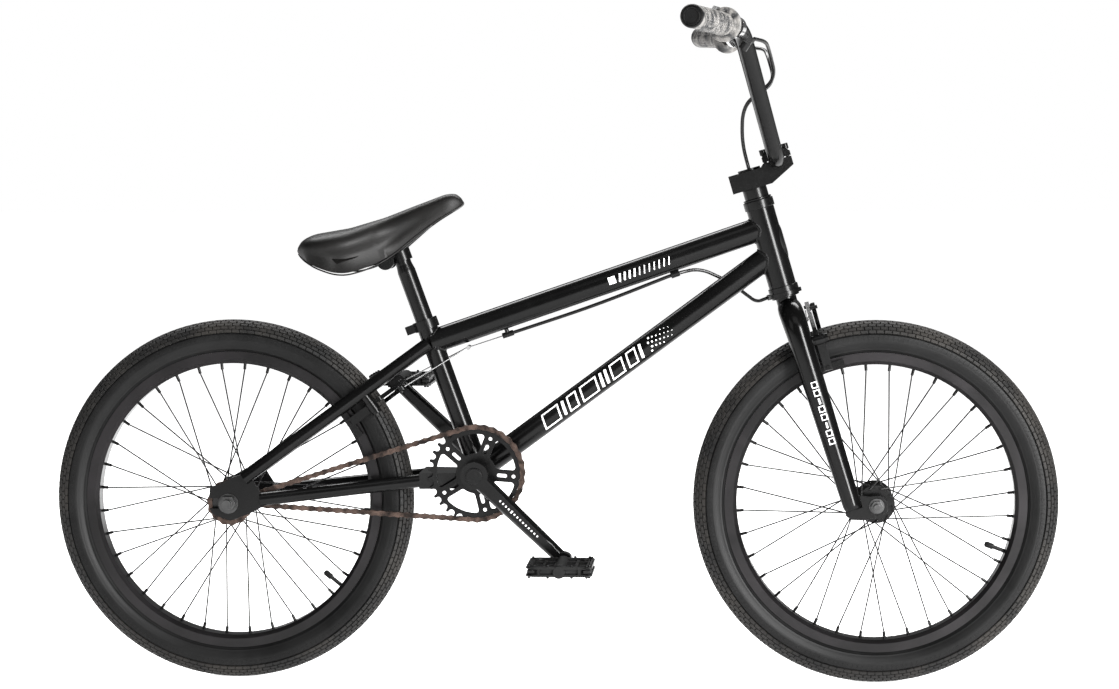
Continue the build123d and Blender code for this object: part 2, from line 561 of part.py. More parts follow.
def brake_studs(place, holder):
    """Posts that the arms turn on, with retaining heads, set against the stay or blade."""
    studs = []
    for side in (-1, 1):
        x = side * BRAKE_STUD_SPACING / 2
        top = ARM_BASE + 2 * ARM_LAYER
        stud = Pos(x, 0, 0) * Cylinder(BRAKE_STUD_RADIUS, top + 4, align=STANDING)
        foot = Pos(x, 0, 0) * Cylinder(STUD_FOOT_RADIUS, ARM_BASE - CLEAR, align=STANDING)
        head = Pos(x, 0, top + CLEAR) * Cylinder(6.5, 4, align=STANDING)
        studs.append(largest((place * (stud + foot + head)) - holder))
    return group(*studs)


def brakes(blades, stays):
    PIECES["front_brake_studs"] = brake_studs(FRONT_BRAKE, blades)
    PIECES["rear_brake_studs"] = brake_studs(REAR_BRAKE, stays)
    for end, place in (("front", FRONT_BRAKE), ("rear", REAR_BRAKE)):
        for name, side, layer in (("right", -1, 0), ("left", 1, 1)):
            PIECES[f"{end}_{name}_brake_arm"] = place * brake_arm(side, layer)


def at_brake(place, side, up, out):
    """A world point from a brake's own frame."""
    return (place * Pos(side, up, out)).position


# ---------------------------------------------------------------- cables
def cables(lever_barrel_end):
    """Housings and wires along their real routes, and the guides that hold them."""
    top_way = (TOP_TUBE_FRONT - TOP_TUBE_REAR).normalized()
    top_down = Vector(top_way.Z, 0, -top_way.X)
    under = TOP_TUBE_RADIUS + HOUSING_RADIUS + 1.0
    guide = TOP_TUBE_REAR + top_way * 352.0 + top_down * under
    stop = TOP_TUBE_REAR + top_way * 112.0 + top_down * (under + 4.0)
    down_way = (DOWN_TUBE_FRONT - BRACKET).normalized()
    down_up = Vector(-down_way.Z, 0, down_way.X)
    beside = BRACKET + down_way * 437.0 + Y_AXIS * (DOWN_TUBE_RADIUS + 9.0) + down_up * 4
    ring_stop = steer(-CUP_RADIUS - 4.0, 6.0, LOWER_CUP + 1.5)
    behind = ring_stop - STEER_AHEAD * 16 + Y_AXIS * 10 - STEER_UP * 2
    near_guide = guide + top_way * 34.0 + Y_AXIS * 15.0 + top_down * 4
    mid_run = (guide + stop) * 0.5 + top_down * 3.5
    rear_points = [ring_stop, behind, beside, near_guide, guide, mid_run, stop]
    PIECES["rear_cable_housing"] = round_cable([tuple(point) for point in rear_points], HOUSING_RADIUS)
    wire_way = (stop - mid_run).normalized()
    barrel = rod(stop, stop + wire_way * 16, 4.0)
    hanger_front = stop + wire_way * 66.0
    hanger = rod(hanger_front - Y_AXIS * 10, hanger_front + Y_AXIS * 10, 3.0)
    bare = rod(stop + wire_way * 16, hanger_front - wire_way * 3.0, WIRE_RADIUS)
    wires = [bare, hanger]
    for name, side, layer in (("right", -1, 0), ("left", 1, 1)):
        tip = at_brake(REAR_BRAKE, -side * ARM_TIP_SIDE, BRAKE_ARM_RISE + 4.5,
                       ARM_BASE + ARM_LAYER * (layer + 0.5))
        start = hanger_front - side * Y_AXIS * 9.5 + wire_way * 3.2
        wires.append(rod(start, tip, WIRE_RADIUS))
    PIECES["rear_brake_wires"] = group(*wires)
    guide_block = rod(guide - top_way * 6, guide + top_way * 6, 5.0)
    guide_block = guide_block + rod(guide, guide - top_down * under, 3.5)
    top_solid = rod(TOP_TUBE_REAR, TOP_TUBE_FRONT, TOP_TUBE_RADIUS)
    stop_post = rod(stop + wire_way * 8, stop + wire_way * 8 - top_down * (under + 6), 3.0)
    rotor = steer_disc(LOWER_CUP - 1.0, LOWER_CUP + 4.0, CUP_RADIUS + 3.0, CUP_RADIUS)
    rotor_lug = rod(ring_stop, ring_stop + STEER_AHEAD * 6, 4.0)
    housing = PIECES["rear_cable_housing"]
    guide_block = largest(guide_block - top_solid - housing)
    stop_piece = largest(barrel + stop_post - top_solid - housing - bare)
    rotor = largest(rotor + rotor_lug - housing - steer_disc(0, 900, CUP_RADIUS))
    PIECES["cable_stops"] = group(guide_block, stop_piece, rotor)
    lever_housings(lever_barrel_end)
    front_wires()


def lever_housings(barrel_end):
    """Two housings from the levers, in front of the crossbar, and down into the stem's hollow bolt."""
    ahead_of_bar = Vector(30, 0, 0)
    shoulder = BAR_FOOT + (BAR_SHOULDER - BAR_FOOT) * 0.86 + ahead_of_bar
    middle = BAR_FOOT + (BAR_SHOULDER - BAR_FOOT) * 0.62 + ahead_of_bar
    inlet = steer(0, 3.4, STEM_TOP - 6)
    above = steer(1, 5, STEM_TOP + 40)
    high = steer(16, 16, STEM_TOP + 88)
    left = [
        tuple(barrel_end),
        tuple(barrel_end - BAR_GRIP_WAY * 22 + Vector(9, 0, -2)),
        (shoulder.X, shoulder.Y - 22, shoulder.Z - 4),
        (middle.X - 2, middle.Y - 36, middle.Z + 2),
        tuple(high),
        tuple(above),
        tuple(inlet),
    ]
    housing = round_cable(left, HOUSING_RADIUS)
    PIECES["lever_cable_housings"] = both_sides(housing)


def front_wires():
    """The wire that leaves the bottom of the steerer, its hanger and the straddle wires to the arms."""
    exit_point = steer(8, 0, LOWER_CUP - 39)
    hanger_at = steer(19, 0, LOWER_CUP - 42)
    wires = [rod(exit_point, steer(16, 0, LOWER_CUP - 41.2), WIRE_RADIUS),
             rod(hanger_at - Y_AXIS * 6, hanger_at + Y_AXIS * 6, 3.0)]
    for side, layer in ((-1, 0), (1, 1)):
        tip = at_brake(FRONT_BRAKE, -side * ARM_TIP_SIDE, BRAKE_ARM_RISE - 7.5,
                       ARM_BASE + ARM_LAYER * (layer + 0.5) - 4.6)
        wires.append(rod(hanger_at - side * Y_AXIS * 6.4, tip, WIRE_RADIUS))
    PIECES["front_brake_wires"] = group(*wires)


# ---------------------------------------------------------------- wheels
def tyre(centre):
    """A hollow casing whose beads sit in the rim."""
    middle = TYRE_DIAMETER / 2 - TYRE_WIDTH / 2
    bead = RIM_BEAD_RADIUS + 0.2
    inner_half = RIM_WIDTH / 2 - RIM_WALL - 0.2
    outline = Pos(middle, 0) * Circle(TYRE_WIDTH / 2) - Pos(middle, 0) * Circle(TYRE_WIDTH / 2 - TYRE_WALL)
    flange_top = RIM_BEAD_RADIUS + RIM_FLANGE + 0.2
    outline = outline - Pos(bead - 20, 0) * Rectangle(40, 80)
    outline = outline - Pos(middle - 20, 0) * Rectangle(40, 2 * inner_half - 8)
    for side in (-1, 1):
        outside = Rectangle(flange_top, 40, align=(Align.MIN, Align.CENTER))
        outline = outline - Pos(0, side * (inner_half + 20)) * outside
    profile = Plane.XY * outline
    solid = revolve(profile, Axis.Y, 360)
    return solid.moved(Location(centre))


def rim(centre, phase):
    """A double-wall rim, drilled for its spoke nipples and valve."""
    inner, outer = RIM_BEAD_RADIUS - RIM_DEPTH, RIM_BEAD_RADIUS + RIM_FLANGE
    half = RIM_WIDTH / 2
    bed = RIM_BEAD_RADIUS
    points = [(inner, -half + 5), (inner + 5, -half), (outer, -half), (outer, -half + RIM_WALL),
              (bed, -half + RIM_WALL), (bed, half - RIM_WALL), (outer, half - RIM_WALL), (outer, half),
              (inner + 5, half), (inner, half - 5)]
    section = make_face(Polyline(*points, close=True))
    hollow = Pos((inner + bed) / 2, 0) * Rectangle(RIM_DEPTH - 2 * RIM_WALL, RIM_WIDTH - 2 * RIM_WALL - 6)
    ring_solid = revolve(section - hollow, Axis.Y, 360)
    for index in range(SPOKES):
        angle = index * 360 / SPOKES + phase
        ring_solid = ring_solid - rod(polar(Vector(0, 0, 0), inner - 3, angle),
                                      polar(Vector(0, 0, 0), bed - 1, angle), NIPPLE_RADIUS)
    valve_angle = phase + 180 / SPOKES
    ring_solid = ring_solid - rod(polar(Vector(0, 0, 0), inner - 3, valve_angle),
                                  polar(Vector(0, 0, 0), outer, valve_angle), 4.0)
    return ring_solid.moved(Location(centre))


def spoke_holes(phase, flange_half):
    """Each spoke's (rim angle, hub angle, flange Y, direction along Y that its elbow points)."""
    per_side = SPOKES // 2
    step = 360 / per_side
    wrap = SPOKE_CROSSES * step
    for side in (-1, 1):
        for index in range(per_side):
            leading = 1 if index % 2 else -1
            rim_angle = phase + index * step + (step / 2 if side > 0 else 0)
            yield rim_angle, rim_angle - leading * wrap, side * flange_half, leading


def spokes(centre, phase, flange_half):
    """Spokes laced across each other, each with an elbow through its flange and a nipple at the rim."""
    nipple_tip = RIM_BEAD_RADIUS - RIM_DEPTH - 9
    nipple_seat = RIM_BEAD_RADIUS - 1.2
    close = HUB_FLANGE_THICKNESS / 2 + ELBOW_RADIUS + 0.1
    run_over_flange = sqrt(HUB_FLANGE_RADIUS**2 - HUB_HOLE_RADIUS**2)
    solids = []
    for rim_angle, hub_angle, flange_y, leading in spoke_holes(phase, flange_half):
        outside = leading * flange_y > 0
        slope = (flange_half + close) / (RIM_BEAD_RADIUS - HUB_FLANGE_RADIUS)
        standoff = close + (slope * run_over_flange + 0.4 if outside else 0)
        foot = polar(centre, HUB_HOLE_RADIUS, hub_angle, flange_y + leading * standoff)
        head = polar(centre, HUB_HOLE_RADIUS, hub_angle, flange_y - leading * close)
        seat = polar(centre, nipple_seat, rim_angle)
        tip = polar(centre, nipple_tip, rim_angle)
        elbow = Location(foot) * Sphere(ELBOW_RADIUS)
        solids.append(rod(foot, tip, SPOKE_RADIUS) + elbow + rod(head, foot, SPOKE_RADIUS))
        solids.append(rod(tip, seat, NIPPLE_RADIUS - 0.1))
    return group(*solids)


def hub(centre, phase, flange_half, end_half, axle_radius):
    """A flanged shell, drilled for the spokes, with a bearing at each end."""
    bearing_radius = HUB_BARREL_RADIUS - 2.0
    shell = across(0, 0, -end_half, end_half, HUB_BARREL_RADIUS)
    for side in (-1, 1):
        y = side * flange_half
        half = HUB_FLANGE_THICKNESS / 2
        shell = shell + across(0, 0, y - half, y + half, HUB_FLANGE_RADIUS)
    shell = shell - across(0, 0, -end_half - 1, end_half + 1, bearing_radius)
    origin = Vector(0, 0, 0)
    for _, hub_angle, flange_y, _ in spoke_holes(phase, flange_half):
        near = polar(origin, HUB_HOLE_RADIUS, hub_angle, flange_y - HUB_FLANGE_THICKNESS)
        far = polar(origin, HUB_HOLE_RADIUS, hub_angle, flange_y + HUB_FLANGE_THICKNESS)
        shell = shell - rod(near, far, SPOKE_RADIUS + 0.1)
    bearing = across(0, 0, end_half - 9, end_half, bearing_radius)
    bearing = bearing - across(0, 0, end_half - 10, end_half + 1, axle_radius + RUNNING_FIT)
    return group(shell, both_sides(bearing)).moved(Location(centre))


def axle(centre, radius, inside, outside, nut_radius, cone_start):
    """An axle with its cones inside the dropouts and its nuts outside them."""
    nut_face = outside + 0.6
    nut_end = nut_face + 9
    shaft = across(0, 0, -nut_end, nut_end, radius)
    end = across(0, 0, -nut_end - AXLE_END_LENGTH, nut_end + AXLE_END_LENGTH, radius - AXLE_END_RELIEF)
    flats = Plane(origin=(0, nut_face, 0), x_dir=(1, 0, 0), z_dir=(0, 1, 0))
    nut = flats * extrude(RegularPolygon(nut_radius, 6), 9)
    nut = nut + flats * Pos(0, 0, -0.5) * Cylinder(nut_radius + 2, 1.6, align=STANDING)
    nut = nut - shaft
    cone = across(0, 0, cone_start, inside, radius + 4.5) - shaft
    return group(shaft + end, both_sides(nut), both_sides(cone)).moved(Location(centre))


def valve(centre, phase):
    """The inner tube's valve, through the rim towards the hub."""
    angle = phase + 180 / SPOKES
    outer = RIM_BEAD_RADIUS - 0.5
    stem_solid = rod(polar(centre, outer, angle), polar(centre, outer - 36, angle), 3.0)
    cap = rod(polar(centre, outer - 30, angle), polar(centre, outer - 42, angle), 4.2)
    return stem_solid + cap


def wheel(name, centre, valve_angle, flange_half, end_half, axle_radius):
    """Tyre, rim, spokes and hub, turned so that the valve stands at an angle from +X."""
    phase = valve_angle - 180 / SPOKES
    PIECES[f"{name}_tyre"] = group(tyre(centre), valve(centre, phase))
    PIECES[f"{name}_rim"] = rim(centre, phase)
    PIECES[f"{name}_spokes"] = spokes(centre, phase, flange_half)
    PIECES[f"{name}_hub"] = hub(centre, phase, flange_half, end_half, axle_radius)


# ---------------------------------------------------------------- drive
def toothed_disc(centre, teeth, start_angle, thickness):
    """A disc with a rounded seat for each roller and tapered teeth between the seats."""
    radius = pitch_radius(teeth)
    seat = ROLLER_RADIUS + 0.35
    disc = Circle(radius + 2.5)
    flare = 5.0 * tan(radians(26))
    for index in range(teeth):
        mouth = make_face(Polyline((0, -seat), (0, seat), (6, seat + flare), (6, -seat - flare), close=True))
        cutter = Circle(seat) + mouth
        disc = disc - Rot(0, 0, start_angle + index * 360 / teeth) * Pos(radius, 0) * cutter
    origin = (centre.X, -CHAIN_LINE + thickness / 2, centre.Z)
    return Plane(origin=origin, x_dir=(1, 0, 0), z_dir=(0, -1, 0)), disc


def sprocket():
    """A five-arm sprocket on the spindle."""
    phase = DRIVE_TILT + 180 / SPROCKET_TEETH * (BIG_STEPS % 2)
    plane, disc = toothed_disc(BRACKET, SPROCKET_TEETH, phase, 3.2)
    window_outer, window_inner = 55.0, 28.0
    arm_half = 8.5
    corner = 4.0
    reach = 90.0
    wedge_tip = arm_half / sin(radians(36))
    wedge_rise = (reach - wedge_tip) * tan(radians(36))
    wedge = make_face(Polyline((wedge_tip, 0), (reach, wedge_rise), (reach, -wedge_rise), close=True))
    window = (Circle(window_outer) - Circle(window_inner)) & wedge
    window = fillet(window.vertices(), corner)
    for arm in range(SPROCKET_ARMS):
        angle = SPROCKET_TURN + arm * 360 / SPROCKET_ARMS
        disc = disc - Rot(0, 0, angle) * Pos(52, 0) * Circle(2.6)
        disc = disc - Rot(0, 0, angle) * Pos(36, 0) * SlotCenterToCenter(9, 5)
        disc = disc - Rot(0, 0, angle + 180 / SPROCKET_ARMS) * window
    disc = disc - Circle(SPINDLE_RADIUS)
    PIECES["sprocket"] = largest(plane * extrude(disc, 3.2))


def cog():
    """The small cog with its driver, turning on the rear axle."""
    phase = DRIVE_TILT + 180 / COG_TEETH * (SMALL_STEPS % 2) + 180
    plane, disc = toothed_disc(REAR_AXLE, COG_TEETH, phase, 3.0)
    body = largest(plane * extrude(disc, 3.0))
    barrel = across(REAR_AXLE.X, REAR_AXLE.Z, -CHAIN_LINE - 4.5, -CHAIN_LINE + 5.5, 17.0)
    bore = across(REAR_AXLE.X, REAR_AXLE.Z, -80, 0, REAR_AXLE_RADIUS + RUNNING_FIT)
    PIECES["rear_cog"] = body + barrel - bore


def chain_pins():
    """Pin centres of the whole closed chain, in order, as (x, z)."""
    big, small = pitch_radius(SPROCKET_TEETH), pitch_radius(COG_TEETH)
    big_wrap = BIG_STEPS * 180 / SPROCKET_TEETH
    small_wrap = SMALL_STEPS * 180 / COG_TEETH
    pins = []
    for index in range(BIG_STEPS + 1):
        angle = radians(big_wrap - index * 360 / SPROCKET_TEETH)
        pins.append((big * cos(angle), big * sin(angle)))
    rear = []
    for index in range(SMALL_STEPS + 1):
        angle = radians(-small_wrap + index * 360 / COG_TEETH)
        rear.append((-CENTRE_DISTANCE - small * cos(angle), small * sin(angle)))
    lower = straight_pins(pins[-1], rear[0])
    upper = straight_pins(rear[-1], pins[0])
    loop = pins + lower + rear + upper
    tilt = radians(DRIVE_TILT)
    return [(BRACKET.X + x * cos(tilt) - z * sin(tilt), BRACKET.Z + x * sin(tilt) + z * cos(tilt))
            for x, z in loop]


def straight_pins(start, end):
    """The pins between the two ends of a straight run."""
    step = ((end[0] - start[0]) / RUN_LINKS, (end[1] - start[1]) / RUN_LINKS)
    return [(start[0] + step[0] * index, start[1] + step[1] * index) for index in range(1, RUN_LINKS)]


def link_plane(low):
    """A link plate's own plane, at its middle, facing +Y from a distance off the chain's centre plane."""
    return Plane(origin=(CHAIN_PITCH / 2, low, 0), x_dir=(1, 0, 0), z_dir=(0, 1, 0))


def inner_link():
    """Two plates with their bushings and rollers, along +X from the first pin."""
    plate = SlotCenterToCenter(CHAIN_PITCH, PLATE_WIDTH)
    link = None
    for low in (INNER_PLATE_OUT, -INNER_PLATE_OUT - PLATE_THICKNESS):
        side = link_plane(low) * extrude(plate, PLATE_THICKNESS)
        link = side if link is None else link + side
    for x in (0, CHAIN_PITCH):
        link = link + across(x, 0, -1.7, 1.7, ROLLER_RADIUS)
    for x in (0, CHAIN_PITCH):
        link = link - across(x, 0, -4, 4, 1.9)
    return link


def outer_link():
    """Two plates joined by two pins, along +X from the first pin."""
    plate = SlotCenterToCenter(CHAIN_PITCH, PLATE_WIDTH)
    link = None
    for low in (OUTER_PLATE_OUT, -OUTER_PLATE_OUT - PLATE_THICKNESS):
        side = link_plane(low) * extrude(plate, PLATE_THICKNESS)
        link = side if link is None else link + side
    for x in (0, CHAIN_PITCH):
        link = link + across(x, 0, -4.4, 4.4, 1.8)
    return link


def chain():
    pins = chain_pins()
    links = {"chain_inner_links": [], "chain_outer_links": []}
    models = {"chain_inner_links": inner_link(), "chain_outer_links": outer_link()}
    for index, (x, z) in enumerate(pins):
        next_x, next_z = pins[(index + 1) % len(pins)]
        name = "chain_inner_links" if index % 2 else "chain_outer_links"
        turn = -degrees(atan2(next_z - z, next_x - x))
        place = Location((x, -CHAIN_LINE, z), (0, turn, 0))
        links[name].append(models[name].moved(place))
    for name, solids in links.items():
        PIECES[name] = group(*solids)


ARM_PLANE = 71.0
CRANK_END = Vector(BRACKET.X + CRANK_LENGTH * cos(radians(CRANK_ANGLE)), 0,
                   BRACKET.Z + CRANK_LENGTH * sin(radians(CRANK_ANGLE)))


def cranks():
    """Spindle, arms and pedal spindles."""
    spindle = across(BRACKET.X, BRACKET.Z, -ARM_PLANE - 9, ARM_PLANE + 9, SPINDLE_RADIUS)
    bolts = [across(BRACKET.X, BRACKET.Z, y, y + 4, 11.0) for y in (-ARM_PLANE - 13, ARM_PLANE + 9)]
    spacer = ring(BRACKET, -CHAIN_LINE + 1.7, -BRACKET_SHELL_WIDTH / 2 - CLEAR, 14.0, SPINDLE_RADIUS)
    left_spacer = ring(BRACKET, BRACKET_SHELL_WIDTH / 2 + CLEAR, ARM_PLANE - 12, 13.0, SPINDLE_RADIUS)
    PIECES["crank_spindle"] = group(spindle, *bolts, spacer, left_spacer)
    for name, side, end in (("right", -1, CRANK_END), ("left", 1, opposite(CRANK_END))):
        PIECES[f"{name}_crank_arm"] = crank_arm(side, end)
    spindles = []
    for side, end in ((-1, CRANK_END), (1, opposite(CRANK_END))):
        inner = ARM_PLANE - 6
        outer = ARM_PLANE + 9 + 8 + PEDAL_WIDTH - 6
        shaft = across(end.X, end.Z, side * inner, side * outer, 5.0)
        collar = across(end.X, end.Z, side * (ARM_PLANE + 8), side * (ARM_PLANE + 14), 8.0)
        spindles.append(shaft + collar)
    for name, spindle_solid in (("right", spindles[0]), ("left", spindles[1])):
        PIECES[f"{name}_crank_arm"] = largest(PIECES[f"{name}_crank_arm"] - spindle_solid)
    PIECES["pedal_spindles"] = group(*spindles)


def opposite(point):
    """The point across the bottom bracket from a point."""
    return Vector(2 * BRACKET.X - point.X, 0, 2 * BRACKET.Z - point.Z)


def crank_arm(side, end):
    plane_y = side * ARM_PLANE
    inner_y = side * (CHAIN_LINE + 1.7) if side < 0 else side * (ARM_PLANE - 12)
    outer_y = plane_y + side * 9
    boss = across(BRACKET.X, BRACKET.Z, min(inner_y, outer_y), max(inner_y, outer_y), CRANK_BOSS_RADIUS)
    start = Vector(BRACKET.X, plane_y, BRACKET.Z)
    stop = Vector(end.X, plane_y, end.Z)
    tube = taper(start, stop, 12.5, 9.5)
    foot = across(end.X, end.Z, plane_y - 9, plane_y + 9, 12.0)
    spindle_hole = across(BRACKET.X, BRACKET.Z, -100, 100, SPINDLE_RADIUS)
    slab = Box(4000, 18, 4000).moved(Location((0, plane_y, 0)))
    return largest(boss + (tube & slab) + foot - spindle_hole)


def pedals():
    """Platform bodies with open windows, turning on their spindles."""
    start = ARM_PLANE + 9 + 8
    for name, side, end in (("right", -1, CRANK_END), ("left", 1, opposite(CRANK_END))):
        middle = Vector(end.X, side * (start + PEDAL_WIDTH / 2), end.Z)
        body = Box(PEDAL_LENGTH, PEDAL_WIDTH, PEDAL_HEIGHT)
        for window_side in (-1, 1):
            for along in (-1, 1):
                window = Box(26, PEDAL_WIDTH / 2 - 14, PEDAL_HEIGHT + 2)
                body = body - Pos(window_side * 27, along * (PEDAL_WIDTH / 4 - 1), 0) * window
        body = body.moved(Location(middle))
        bore_end = start + PEDAL_WIDTH - 5
        bore = across(end.X, end.Z, side * (start - 2), side * bore_end, 5.0 + RUNNING_FIT)
        PIECES[f"{name}_pedal"] = body - bore


# ---------------------------------------------------------------- seat
CLAMP_BACK = 20.0
CLAMP_UP = 306.0
RAIL_SPACING = 44.0
SADDLE_TILT = 12.0
POST_TOP_UP = 327.0


def seat_point(back, side, up):
    """A point by its distance behind the seat tube's axis, its Y, and its distance up from the bracket."""
    behind = Vector(-SEAT_UP.Z, 0, SEAT_UP.X)
    return BRACKET + SEAT_UP * up + behind * back + Y_AXIS * side


def seat():
    post_low = SEAT_TUBE_LENGTH - SEAT_POST_INSERTION
    shoulder = 306.0
    post = rod(seat_point(0, 0, post_low), seat_point(0, 0, shoulder - 10), SEAT_POST_RADIUS)
    post = post + taper(seat_point(0, 0, shoulder - 10), seat_point(0, 0, shoulder), SEAT_POST_RADIUS,
                        SEAT_POST_NECK_RADIUS)
    post = post + rod(seat_point(0, 0, shoulder), seat_point(0, 0, POST_TOP_UP + 4), SEAT_POST_NECK_RADIUS)
    PIECES["seat_post"] = post - rod(seat_point(0, 0, post_low), seat_point(0, 0, shoulder - 14),
                                     SEAT_POST_RADIUS - 2)
    band_low, band_high = seat_point(0, 0, POST_TOP_UP - 16), seat_point(0, 0, POST_TOP_UP)
    pivot = seat_point(CLAMP_BACK, 0, POST_TOP_UP - 8)
    core = rod(band_low, band_high, SEAT_POST_NECK_RADIUS + 3.5) + across(pivot.X, pivot.Z, -15, 15, 8.0)
    core = core - rod(band_low, band_high, SEAT_POST_NECK_RADIUS) - across(pivot.X, pivot.Z, -20, 20, 4.05)
    PIECES["rail_clamp_core"] = largest(core)
    saddle_pieces(pivot)


RAIL_UP = 13.0
RAIL_BACK = 66.0
RAIL_FRONT = 25.0
RAIL_RADIUS = 3.5
SADDLE_WAY = Vector(cos(radians(SADDLE_TILT)), 0, sin(radians(SADDLE_TILT)))
SADDLE_UP = Vector(-sin(radians(SADDLE_TILT)), 0, cos(radians(SADDLE_TILT)))


def saddle_pieces(pivot):
    """Clamp plates and bolt, rails, and the padded saddle with its hollow underside."""
    half = RAIL_SPACING / 2
    bolt = across(pivot.X, pivot.Z, -half - 9, half + 9, 4.0)
    plate = across(pivot.X, pivot.Z, 15 + CLEAR, half + 5, 12.0)
    plane = Plane(origin=pivot + Y_AXIS * (half - 2), x_dir=SADDLE_WAY, z_dir=Vector(0, -1, 0))
    saddle_block = plane * Pos(0, 9, -1.5) * Box(30, 12, 11)
    rail_start = pivot + SADDLE_UP * RAIL_UP - SADDLE_WAY * RAIL_BACK + Y_AXIS * half
    rail_end = pivot + SADDLE_UP * RAIL_UP + SADDLE_WAY * RAIL_FRONT + Y_AXIS * half
    rail = rod(rail_start, rail_end, RAIL_RADIUS)
    nose_end = rail_end + SADDLE_WAY * 46 + SADDLE_UP * 25 - Y_AXIS * (half - 10)
    back_end = rail_start - SADDLE_WAY * 10 + SADDLE_UP * 8 + Y_AXIS * 10
    rail = rail + rod(rail_end, nose_end, RAIL_RADIUS) + Location(rail_end) * Sphere(RAIL_RADIUS)
    rail = rail + rod(rail_start, back_end, RAIL_RADIUS) + Location(rail_start) * Sphere(RAIL_RADIUS)
    plate = plate + saddle_block - bolt - rail
    nut = across(pivot.X, pivot.Z, half + 5, half + 9, 7.0) - bolt
    PIECES["rail_clamp_plates"] = group(both_sides(largest(plate)), bolt, both_sides(nut))
    PIECES["saddle_rails"] = both_sides(rail)
    PIECES["saddle"] = saddle_cover(pivot, rail)


def saddle_cover(pivot, rail):
    """A closed form: side outline crossed with plan outline, hollowed for the rails and clamp."""
    side = [(-118, 40), (-112, 50), (-90, 58), (-40, 56), (10, 60), (60, 68), (100, 74), (118, 70), (122, 56),
            (112, 48), (90, 42), (40, 18), (14, 2), (-20, -10), (-60, -12), (-92, 8)]
    origin = pivot
    world = [origin + SADDLE_WAY * along + SADDLE_UP * up for along, up in side]
    slab = side_plate([(point.X, point.Z) for point in world], -90, 90)
    plan = [(-118, 26), (-106, 56), (-80, 73), (-48, 72), (-16, 54), (16, 34), (60, 26), (104, 22), (122, 12)]
    ring_points = plan + [(along, -half) for along, half in reversed(plan)]
    plane = Plane(origin=origin - SADDLE_UP * 60, x_dir=SADDLE_WAY, z_dir=SADDLE_UP)
    outline = make_face(Polyline(*ring_points, close=True))
    column = extrude(plane * outline, 200, dir=SADDLE_UP)
    body = slab & column
    pocket_place = Plane(origin=origin, x_dir=SADDLE_WAY, z_dir=SADDLE_UP)
    pocket = pocket_place * Pos(-8, 0, -4) * Box(108, 2 * 36, 64)
    tunnel = pocket_place * Pos(50, 0, -4) * Box(60, 2 * 16, 62)
    body = body - pocket - tunnel - rail - mirror(rail, Plane.XZ)
    return largest(body)


def build():
    tubes = frame_tubes()
    bracket_bearings = bottom_bracket()
    rear_triangle(tubes)
    seat_clamp()
    headset(bracket_bearings)
    fork()
    stem()
    handlebar()
    barrel_end = brake_levers()
    brakes(PIECES["fork_blades"], PIECES["seat_stays"])
    wheel("front", FRONT_AXLE, FRONT_VALVE_ANGLE, FRONT_FLANGE_SPACING / 2,
          FRONT_DROPOUT_SPACING / 2 - 8, FRONT_AXLE_RADIUS)
    wheel("rear", REAR_AXLE, REAR_VALVE_ANGLE, REAR_FLANGE_SPACING / 2, CHAIN_LINE - 8,
          REAR_AXLE_RADIUS)
    PIECES["front_axle"] = axle(FRONT_AXLE, FRONT_AXLE_RADIUS, FRONT_DROPOUT_SPACING / 2,
                                FRONT_DROPOUT_SPACING / 2 + 5, 8.5, FRONT_DROPOUT_SPACING / 2 - 8 + CLEAR)
    PIECES["rear_axle"] = axle(REAR_AXLE, REAR_AXLE_RADIUS, REAR_DROPOUT_SPACING / 2,
                               REAR_DROPOUT_SPACING / 2 + DROPOUT_THICKNESS, 12.0,
                               CHAIN_LINE + 4.5 + CLEAR)
    sprocket()
    cog()
    chain()
    cranks()
    pedals()
    seat()
    cables(barrel_end)


build()
os.makedirs("parts", exist_ok=True)
for node, shape in PIECES.items():
    export_step(shape, f"parts/{node}.step")
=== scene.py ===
"""The looks of a 20 inch BMX bike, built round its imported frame.

The script is laid out as an add-on: settings in property groups, one operator for each group of
pieces and one for the stage, a panel that lists them, and main(), which runs them in order. +X
points forwards, +Z up, and the drive side is -Y. Shapes are worked out in millimetres and stored
in metres.
"""

import json
import math
from math import atan2, ceil, cos, pi, radians, sin, sqrt

import bmesh
import bpy
from bpy.props import FloatProperty, IntProperty, PointerProperty
from mathutils import Matrix, Vector


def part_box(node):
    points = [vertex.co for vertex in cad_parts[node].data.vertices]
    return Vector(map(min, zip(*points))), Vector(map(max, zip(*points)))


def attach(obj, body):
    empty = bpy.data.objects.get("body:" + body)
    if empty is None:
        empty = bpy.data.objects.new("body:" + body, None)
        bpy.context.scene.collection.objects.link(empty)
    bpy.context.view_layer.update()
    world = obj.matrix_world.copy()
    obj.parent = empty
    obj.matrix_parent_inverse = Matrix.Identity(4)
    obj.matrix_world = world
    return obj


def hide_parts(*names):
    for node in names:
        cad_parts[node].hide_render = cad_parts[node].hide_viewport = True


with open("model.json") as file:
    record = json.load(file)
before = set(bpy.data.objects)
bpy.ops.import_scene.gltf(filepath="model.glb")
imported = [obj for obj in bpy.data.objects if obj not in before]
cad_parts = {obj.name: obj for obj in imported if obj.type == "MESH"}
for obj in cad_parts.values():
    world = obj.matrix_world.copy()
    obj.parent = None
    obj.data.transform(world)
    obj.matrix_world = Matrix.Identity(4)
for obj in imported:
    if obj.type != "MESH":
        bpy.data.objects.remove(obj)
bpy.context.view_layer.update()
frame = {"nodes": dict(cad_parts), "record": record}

bl_info = {
    "name": "BMX bike looks",
    "version": (1, 0, 0),
    "blender": (4, 5, 0),
    "location": "3D View > Sidebar > BMX bike",
    "description": "Builds the visible pieces, finishes and stage of a BMX bike",
    "category": "Object",
}

MM = 0.001
Y_AXIS = Vector((0, 1, 0))
X_AXIS = Vector((1, 0, 0))
Z_AXIS = Vector((0, 0, 1))
SIDES = (-1, 1)

